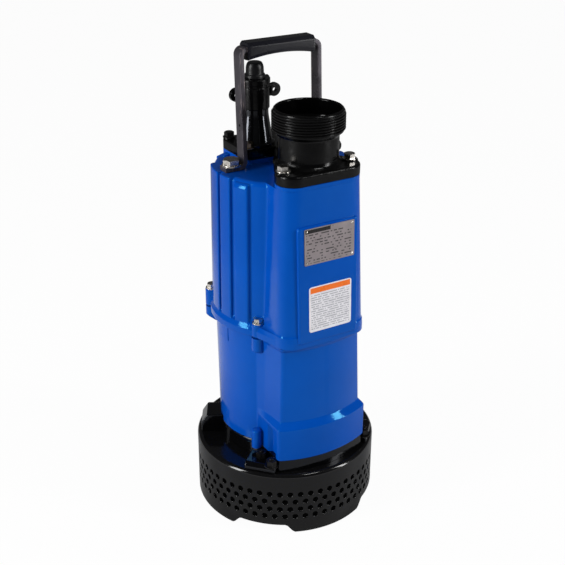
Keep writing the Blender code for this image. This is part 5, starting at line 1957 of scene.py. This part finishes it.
    def nubs(self) -> Shape:
        """Row of low moulded bars along the grip's crown."""
        bm = bmesh.new()
        crown = self.top + self.grip_rise
        along, across = self.nub_half
        for i in range(self.nubs_count):
            x = (i - (self.nubs_count - 1) / 2) * self.nub_pitch
            merge(bm, block((x - along, self.y - across, crown - 0.0012),
                            (x + along, self.y + across, crown - 0.0001), 0.0004, 2))
        return bm

    def fixings(self) -> Shape:
        """Bolts and wide washers on the handle's feet."""
        seat = self.foot + self.thick / 2
        left, right = (self.bolt.shape((side * self.bolt_x, self.y, seat), turn)
                       for side, turn in ((-1, 22.0), (1, 8.0)))
        return merge(left, right)

    def build(self) -> None:
        """Make the bar, the grip and the bolts."""
        bar = Piece("carry_bar", HANDLE_STEEL, Slot.DULL, ("handle_bar",), sharp_deg=50.0).make(self.bar())
        self.drilled(bar)
        grip = self.leaned(merge(self.grip(), self.nubs()))
        Piece("carry_grip", GRIP_PLASTIC, Slot.GRIP, ("handle_grip",)).make(grip)
        Piece("handle_bolts", STAINLESS, Slot.BRIGHT).make(self.fixings())


@dataclass
class JointBolts:
    """Bolts that hold the two housings together."""

    bolt: HexBolt = HexBolt(0.0110, 0.0056, 0.0078, 0.0014)

    def build(self) -> None:
        """Make the four bolts on their lugs."""
        foot = low_of("motor_housing").z
        bm = bmesh.new()
        for lug in JOINT_LUGS:
            merge(bm, self.bolt.shape((*lug.bolt(), foot + lug.rise), lug.bearing))
        Piece("joint_bolts", STAINLESS, Slot.BRIGHT).make(with_twin(bm))


@dataclass
class RatingPlate:
    """Metal rating plate with its rivets, and the printed film below it, both without words."""

    half: tuple[float, float] = (0.0349, 0.0229)
    corner_r: float = 0.0016
    film_middle: tuple[float, float] = (0.0026, 0.3175)
    film_half: tuple[float, float] = (0.0302, 0.0299)
    plate_shift: tuple[float, float] = (0.0011, -0.0035)
    film_thick: float = 0.00025
    film_corner_r: float = 0.0032
    rivet_r: float = 0.0014
    rivet_inset: float = 0.0032
    rivet_dome: float = 0.45

    def __post_init__(self) -> None:
        """Read the plate's place from the frame."""
        low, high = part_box("nameplate")
        self.lean = math.atan2(high[1] - low[1] - 0.0008, high[2] - low[2])
        across, down = self.plate_shift
        self.middle = (Vector(low) + Vector(high)) / 2 + Vector((across, down * math.tan(self.lean), down))

    def leaned(self, bm: Shape, middle: Vector) -> Shape:
        """Stand a shape made round the origin against the leaning pad."""
        return placed(bm, Matrix.Translation(middle) @ Matrix.Rotation(-self.lean, 4, "X"))

    def lifted(self, outline: Outline, middle: Vector, depths: Sequence[Point]) -> Shape:
        """Thin leaning plate grown from back to front.

        Args:
            outline: Its face, round the origin.
            middle: Middle of the plate.
            depths: (distance in front of the middle, inset) of each ring.

        Returns:
            A new bmesh.
        """
        rings = [[(x, -depth, z) for x, z in drawn_in(outline, inset)] for depth, inset in depths]
        return self.leaned(grown(rings), middle)

    def build(self) -> None:
        """Make the plate, its rivets and the film."""
        half_x, half_z = self.half
        outline = rounded_rectangle((-half_x, -half_z), (half_x, half_z), self.corner_r, 5)
        metal = PrintedFinish(
            "plate_metal_print", (0.0, self.middle.z), self.half, ground=(0.30, 0.262, 0.270),
            ink=(0.055, 0.050, 0.052), band=(0.012, 0.012, 0.013), band_end=0.06, band_share=0.18,
            rule_pitch=0.155, rule_share=0.40, marks=16.0, gap_share=0.52, metallic=0.30, smooth=0.26,
            rough=0.38)
        plate = self.lifted(outline, self.middle, ((-0.0004, 0.0), (0.0002, 0.0), (0.0004, 0.0002)))
        Piece("rating_plate", metal, Slot.PLATE, ("nameplate",)).make(plate)
        rivets, dome = bmesh.new(), Matrix.Diagonal((1.0, self.rivet_dome, 1.0, 1.0))
        for x in (self.rivet_inset - half_x, half_x - self.rivet_inset):
            for z in (self.rivet_inset - half_z, half_z - self.rivet_inset):
                bmesh.ops.create_uvsphere(rivets, u_segments=16, v_segments=10, radius=self.rivet_r,
                                          matrix=Matrix.Translation((x, -0.0003, z)) @ dome)
        Piece("plate_rivets", STAINLESS, Slot.BRIGHT).make(self.leaned(rivets, self.middle))
        self.film()

    def film(self) -> None:
        """Make the plain printed film under the plate."""
        x, z = self.film_middle
        half_x, half_z = self.film_half
        middle = Vector((x, MotorHousing().pad_face(z) - self.film_thick / 2, z))
        outline = rounded_rectangle((-half_x, -half_z), (half_x, half_z), self.film_corner_r, 6)
        printed = PrintedFinish(
            "film_print", self.film_middle, self.film_half, ground=(0.86, 0.85, 0.89), ink=(0.40, 0.40, 0.44),
            band=(0.90, 0.17, 0.012), band_end=0.94, band_share=0.22, rule_pitch=0.098, rule_share=0.45,
            marks=22.0, gap_share=0.22, metallic=0.0, smooth=0.25, rough=0.36)
        sheet = self.lifted(outline, middle, ((-self.film_thick, 0.0), (self.film_thick / 2, 0.0)))
        Piece("printed_film", printed, Slot.FILM).make(sheet)


@dataclass(frozen=True)
class Internals:
    """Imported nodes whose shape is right, which only get a better material."""

    finishes: tuple[tuple[str, Finish], ...] = (
        ("suction_cover", BLACK_CASTING), ("impeller", RAW_IRON), ("pump_shaft", STAINLESS),
        ("impeller_nut", STAINLESS), ("housing_gasket", RUBBER), ("head_gasket", RUBBER))

    def dress(self) -> None:
        """Put each node's material in its object's own slot."""
        for node, finish in self.finishes:
            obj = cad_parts[node]
            if not obj.material_slots:
                obj.data.materials.append(None)
            for slot in obj.material_slots:
                slot.link = "OBJECT"
                slot.material = finish.material()
            LOG.info("%s keeps its shape", node)


def background_rays(draw: NodeSketch) -> tuple[Socket, Socket]:
    """Masks of the rays that show the background, and of those that gloss reflects.

    Args:
        draw: Sketch of the floor's or the world's tree.

    Returns:
        The two sockets.
    """
    path = draw.add("ShaderNodeLightPath").outputs
    return draw.math("MAXIMUM", path["Is Camera Ray"], path["Is Transmission Ray"]), path["Is Glossy Ray"]


@dataclass(frozen=True)
class SoftLamp:
    """A soft lamp that points at the middle of the pump."""

    name: str
    place: Triple
    size: Point
    power: float
    target: Triple = (0.0, 0.0, 0.32)

    def hang(self) -> None:
        """Hang the lamp."""
        data = bpy.data.lights.new(self.name, "AREA")
        data.shape = "RECTANGLE"
        data.size, data.size_y = self.size
        data.energy = self.power
        aim = (Vector(self.target) - Vector(self.place)).to_track_quat("-Z", "Y").to_matrix().to_4x4()
        linked(self.name, data).matrix_world = Matrix.Translation(self.place) @ aim


@dataclass
class Studio:
    """Pale floor, soft lamps and the camera at the photograph's viewing angle."""

    place: Triple = (-0.6289, -1.0517, 0.8910)
    yaw_deg: float = 30.69
    pitch_deg: float = 25.49
    roll: float = 0.0034
    focal_pixels: float = 1050.0
    frame_pixels: float = 565.0
    sensor: float = 36.0
    wall_level: float = 0.62
    ceiling_level: float = 0.14
    shine_level: float = 0.06
    floor_white: float = 0.96
    floor_grey: float = 0.46
    # shade_radius and shade_middle place an off-centre disc of painted shade, near black, on the floor under
    # the strainer.
    shade_radius: float = 0.119
    shade_middle: Triple = (0.010, 0.017, 0.0)
    lit_floor: tuple[float, float, float, float] = (0.26, 0.40, 0.72, 0.95)
    lit_level: float = 0.42
    floor_radius: float = 9.0
    floor_drop: float = 0.0002
    lamps: tuple[SoftLamp, ...] = (
        SoftLamp("key_left", (-2.2, 0.03, 0.95), (0.55, 1.7), 46.0),
        SoftLamp("right_strip", (1.5, -1.6, 0.95), (0.34, 1.6), 32.0),
        SoftLamp("top_soft", (0.35, -1.30, 2.30), (0.55, 0.20), 6.0))

    def camera(self) -> None:
        """Set up the camera."""
        data = bpy.data.cameras.new("camera")
        data.sensor_width = self.sensor
        data.sensor_fit = "HORIZONTAL"
        data.lens = self.focal_pixels / self.frame_pixels * self.sensor
        data.clip_start = 0.01
        camera = linked("camera", data)
        turn = (Matrix.Rotation(-math.radians(self.yaw_deg), 4, "Z")
                @ Matrix.Rotation(math.pi / 2 - math.radians(self.pitch_deg), 4, "X")
                @ Matrix.Rotation(self.roll, 4, "Z"))
        camera.matrix_world = Matrix.Translation(self.place) @ turn
        bpy.context.scene.camera = camera

    def world(self) -> None:
        """Plain walls under a dimmer ceiling, white to the camera and dark to glossy paint."""
        world = bpy.data.worlds.new("studio")
        bpy.context.scene.world = world
        world.use_nodes = True
        draw = NodeSketch(world.node_tree)
        ground = world.node_tree.nodes["Background"]
        ground.inputs["Color"].default_value = (1.0, 1.0, 1.0, 1.0)
        way = draw.add("ShaderNodeSeparateXYZ")
        draw.join(draw.add("ShaderNodeTexCoord").outputs["Generated"], way.inputs[0])
        level = draw.ramp(way.outputs["Z"], 0.0, 0.9, self.wall_level, self.ceiling_level)
        seen, glossy = background_rays(draw)
        matt = draw.math("SUBTRACT", 1.0, glossy)
        level = draw.math("MAXIMUM", draw.math("MULTIPLY", matt, level), self.shine_level)
        draw.join(draw.math("MAXIMUM", seen, level), ground.inputs["Strength"])

    def floor(self) -> None:
        """Pale floor that keeps the pump's shadow, with a disc of painted shade under the strainer."""
        bm = bmesh.new()
        bmesh.ops.create_circle(bm, cap_ends=True, radius=self.floor_radius, segments=96)
        mesh = mesh_of("studio_floor", bm)
        made, draw, shader = blank_material("floor_white", 0.0, 0.0)
        shader.inputs["Roughness"].default_value = 0.9
        spot = draw.add("ShaderNodeTexCoord").outputs["Object"]
        reach = draw.add("ShaderNodeVectorMath", operation="LENGTH")
        away = draw.add("ShaderNodeVectorMath", operation="DISTANCE")
        away.inputs[1].default_value = self.shade_middle
        for node in (reach, away):
            draw.join(spot, node.inputs[0])
        # Painted shade: inside this disc the floor is near black and never white to the camera, so the
        # strainer's holes read dark; the disc sits off the middle and shows past the strainer's back edge as a
        # painted shadow.
        outside = draw.ramp(away.outputs["Value"], self.shade_radius, self.shade_radius + 0.004)
        seen, glossy = background_rays(draw)
        near, bright, fading, gone = self.lit_floor
        lit = draw.math("MULTIPLY", draw.ramp(reach.outputs["Value"], near, bright, 0.0, self.lit_level),
                        draw.ramp(reach.outputs["Value"], fading, gone, 1.0, 0.0))
        shine = draw.math("MULTIPLY", glossy, lit)
        white = draw.math("MAXIMUM", draw.math("MULTIPLY", seen, outside), shine)
        # The near-black colour inside the disc is painted shade.
        grey = draw.mix(outside, (0.01, 0.01, 0.01), (self.floor_grey,) * 3)
        draw.join(draw.mix(white, grey, (0.9, 0.9, 0.9)), shader.inputs["Base Color"])
        glow = draw.add("ShaderNodeEmission", Strength=1.0)
        glow.inputs["Color"].default_value = (1.0, 1.0, 1.0, 1.0)
        blend = draw.add("ShaderNodeMixShader")
        draw.join(draw.math("MULTIPLY", white, self.floor_white), blend.inputs[0])
        draw.join(shader.outputs[0], blend.inputs[1])
        draw.join(glow.outputs[0], blend.inputs[2])
        draw.join(blend.outputs[0], made.node_tree.nodes["Material Output"].inputs["Surface"])
        mesh.materials.append(made)
        floor = linked("studio_floor", mesh)
        floor.location.z = -self.floor_drop

    def build(self) -> None:
        """Light the set and place the camera."""
        bpy.context.scene.view_settings.view_transform = "Standard"
        self.camera()
        self.world()
        self.floor()
        for lamp in self.lamps:
            lamp.hang()


def main() -> None:
    """Build every sub-assembly in order, from the floor up."""
    logging.basicConfig(level=logging.INFO, format="%(name)s %(message)s")
    Studio().build()
    Internals().dress()
    for assembly in (Strainer(), PumpCasing(), LowerHousing(), MotorHousing(), JointBolts(), Discharge(),
                     HeadCover(), CableGland(), Handle(), RatingPlate()):
        assembly.build()
        LOG.info("%s built", type(assembly).__name__)


if __name__ == "__main__":
    main()
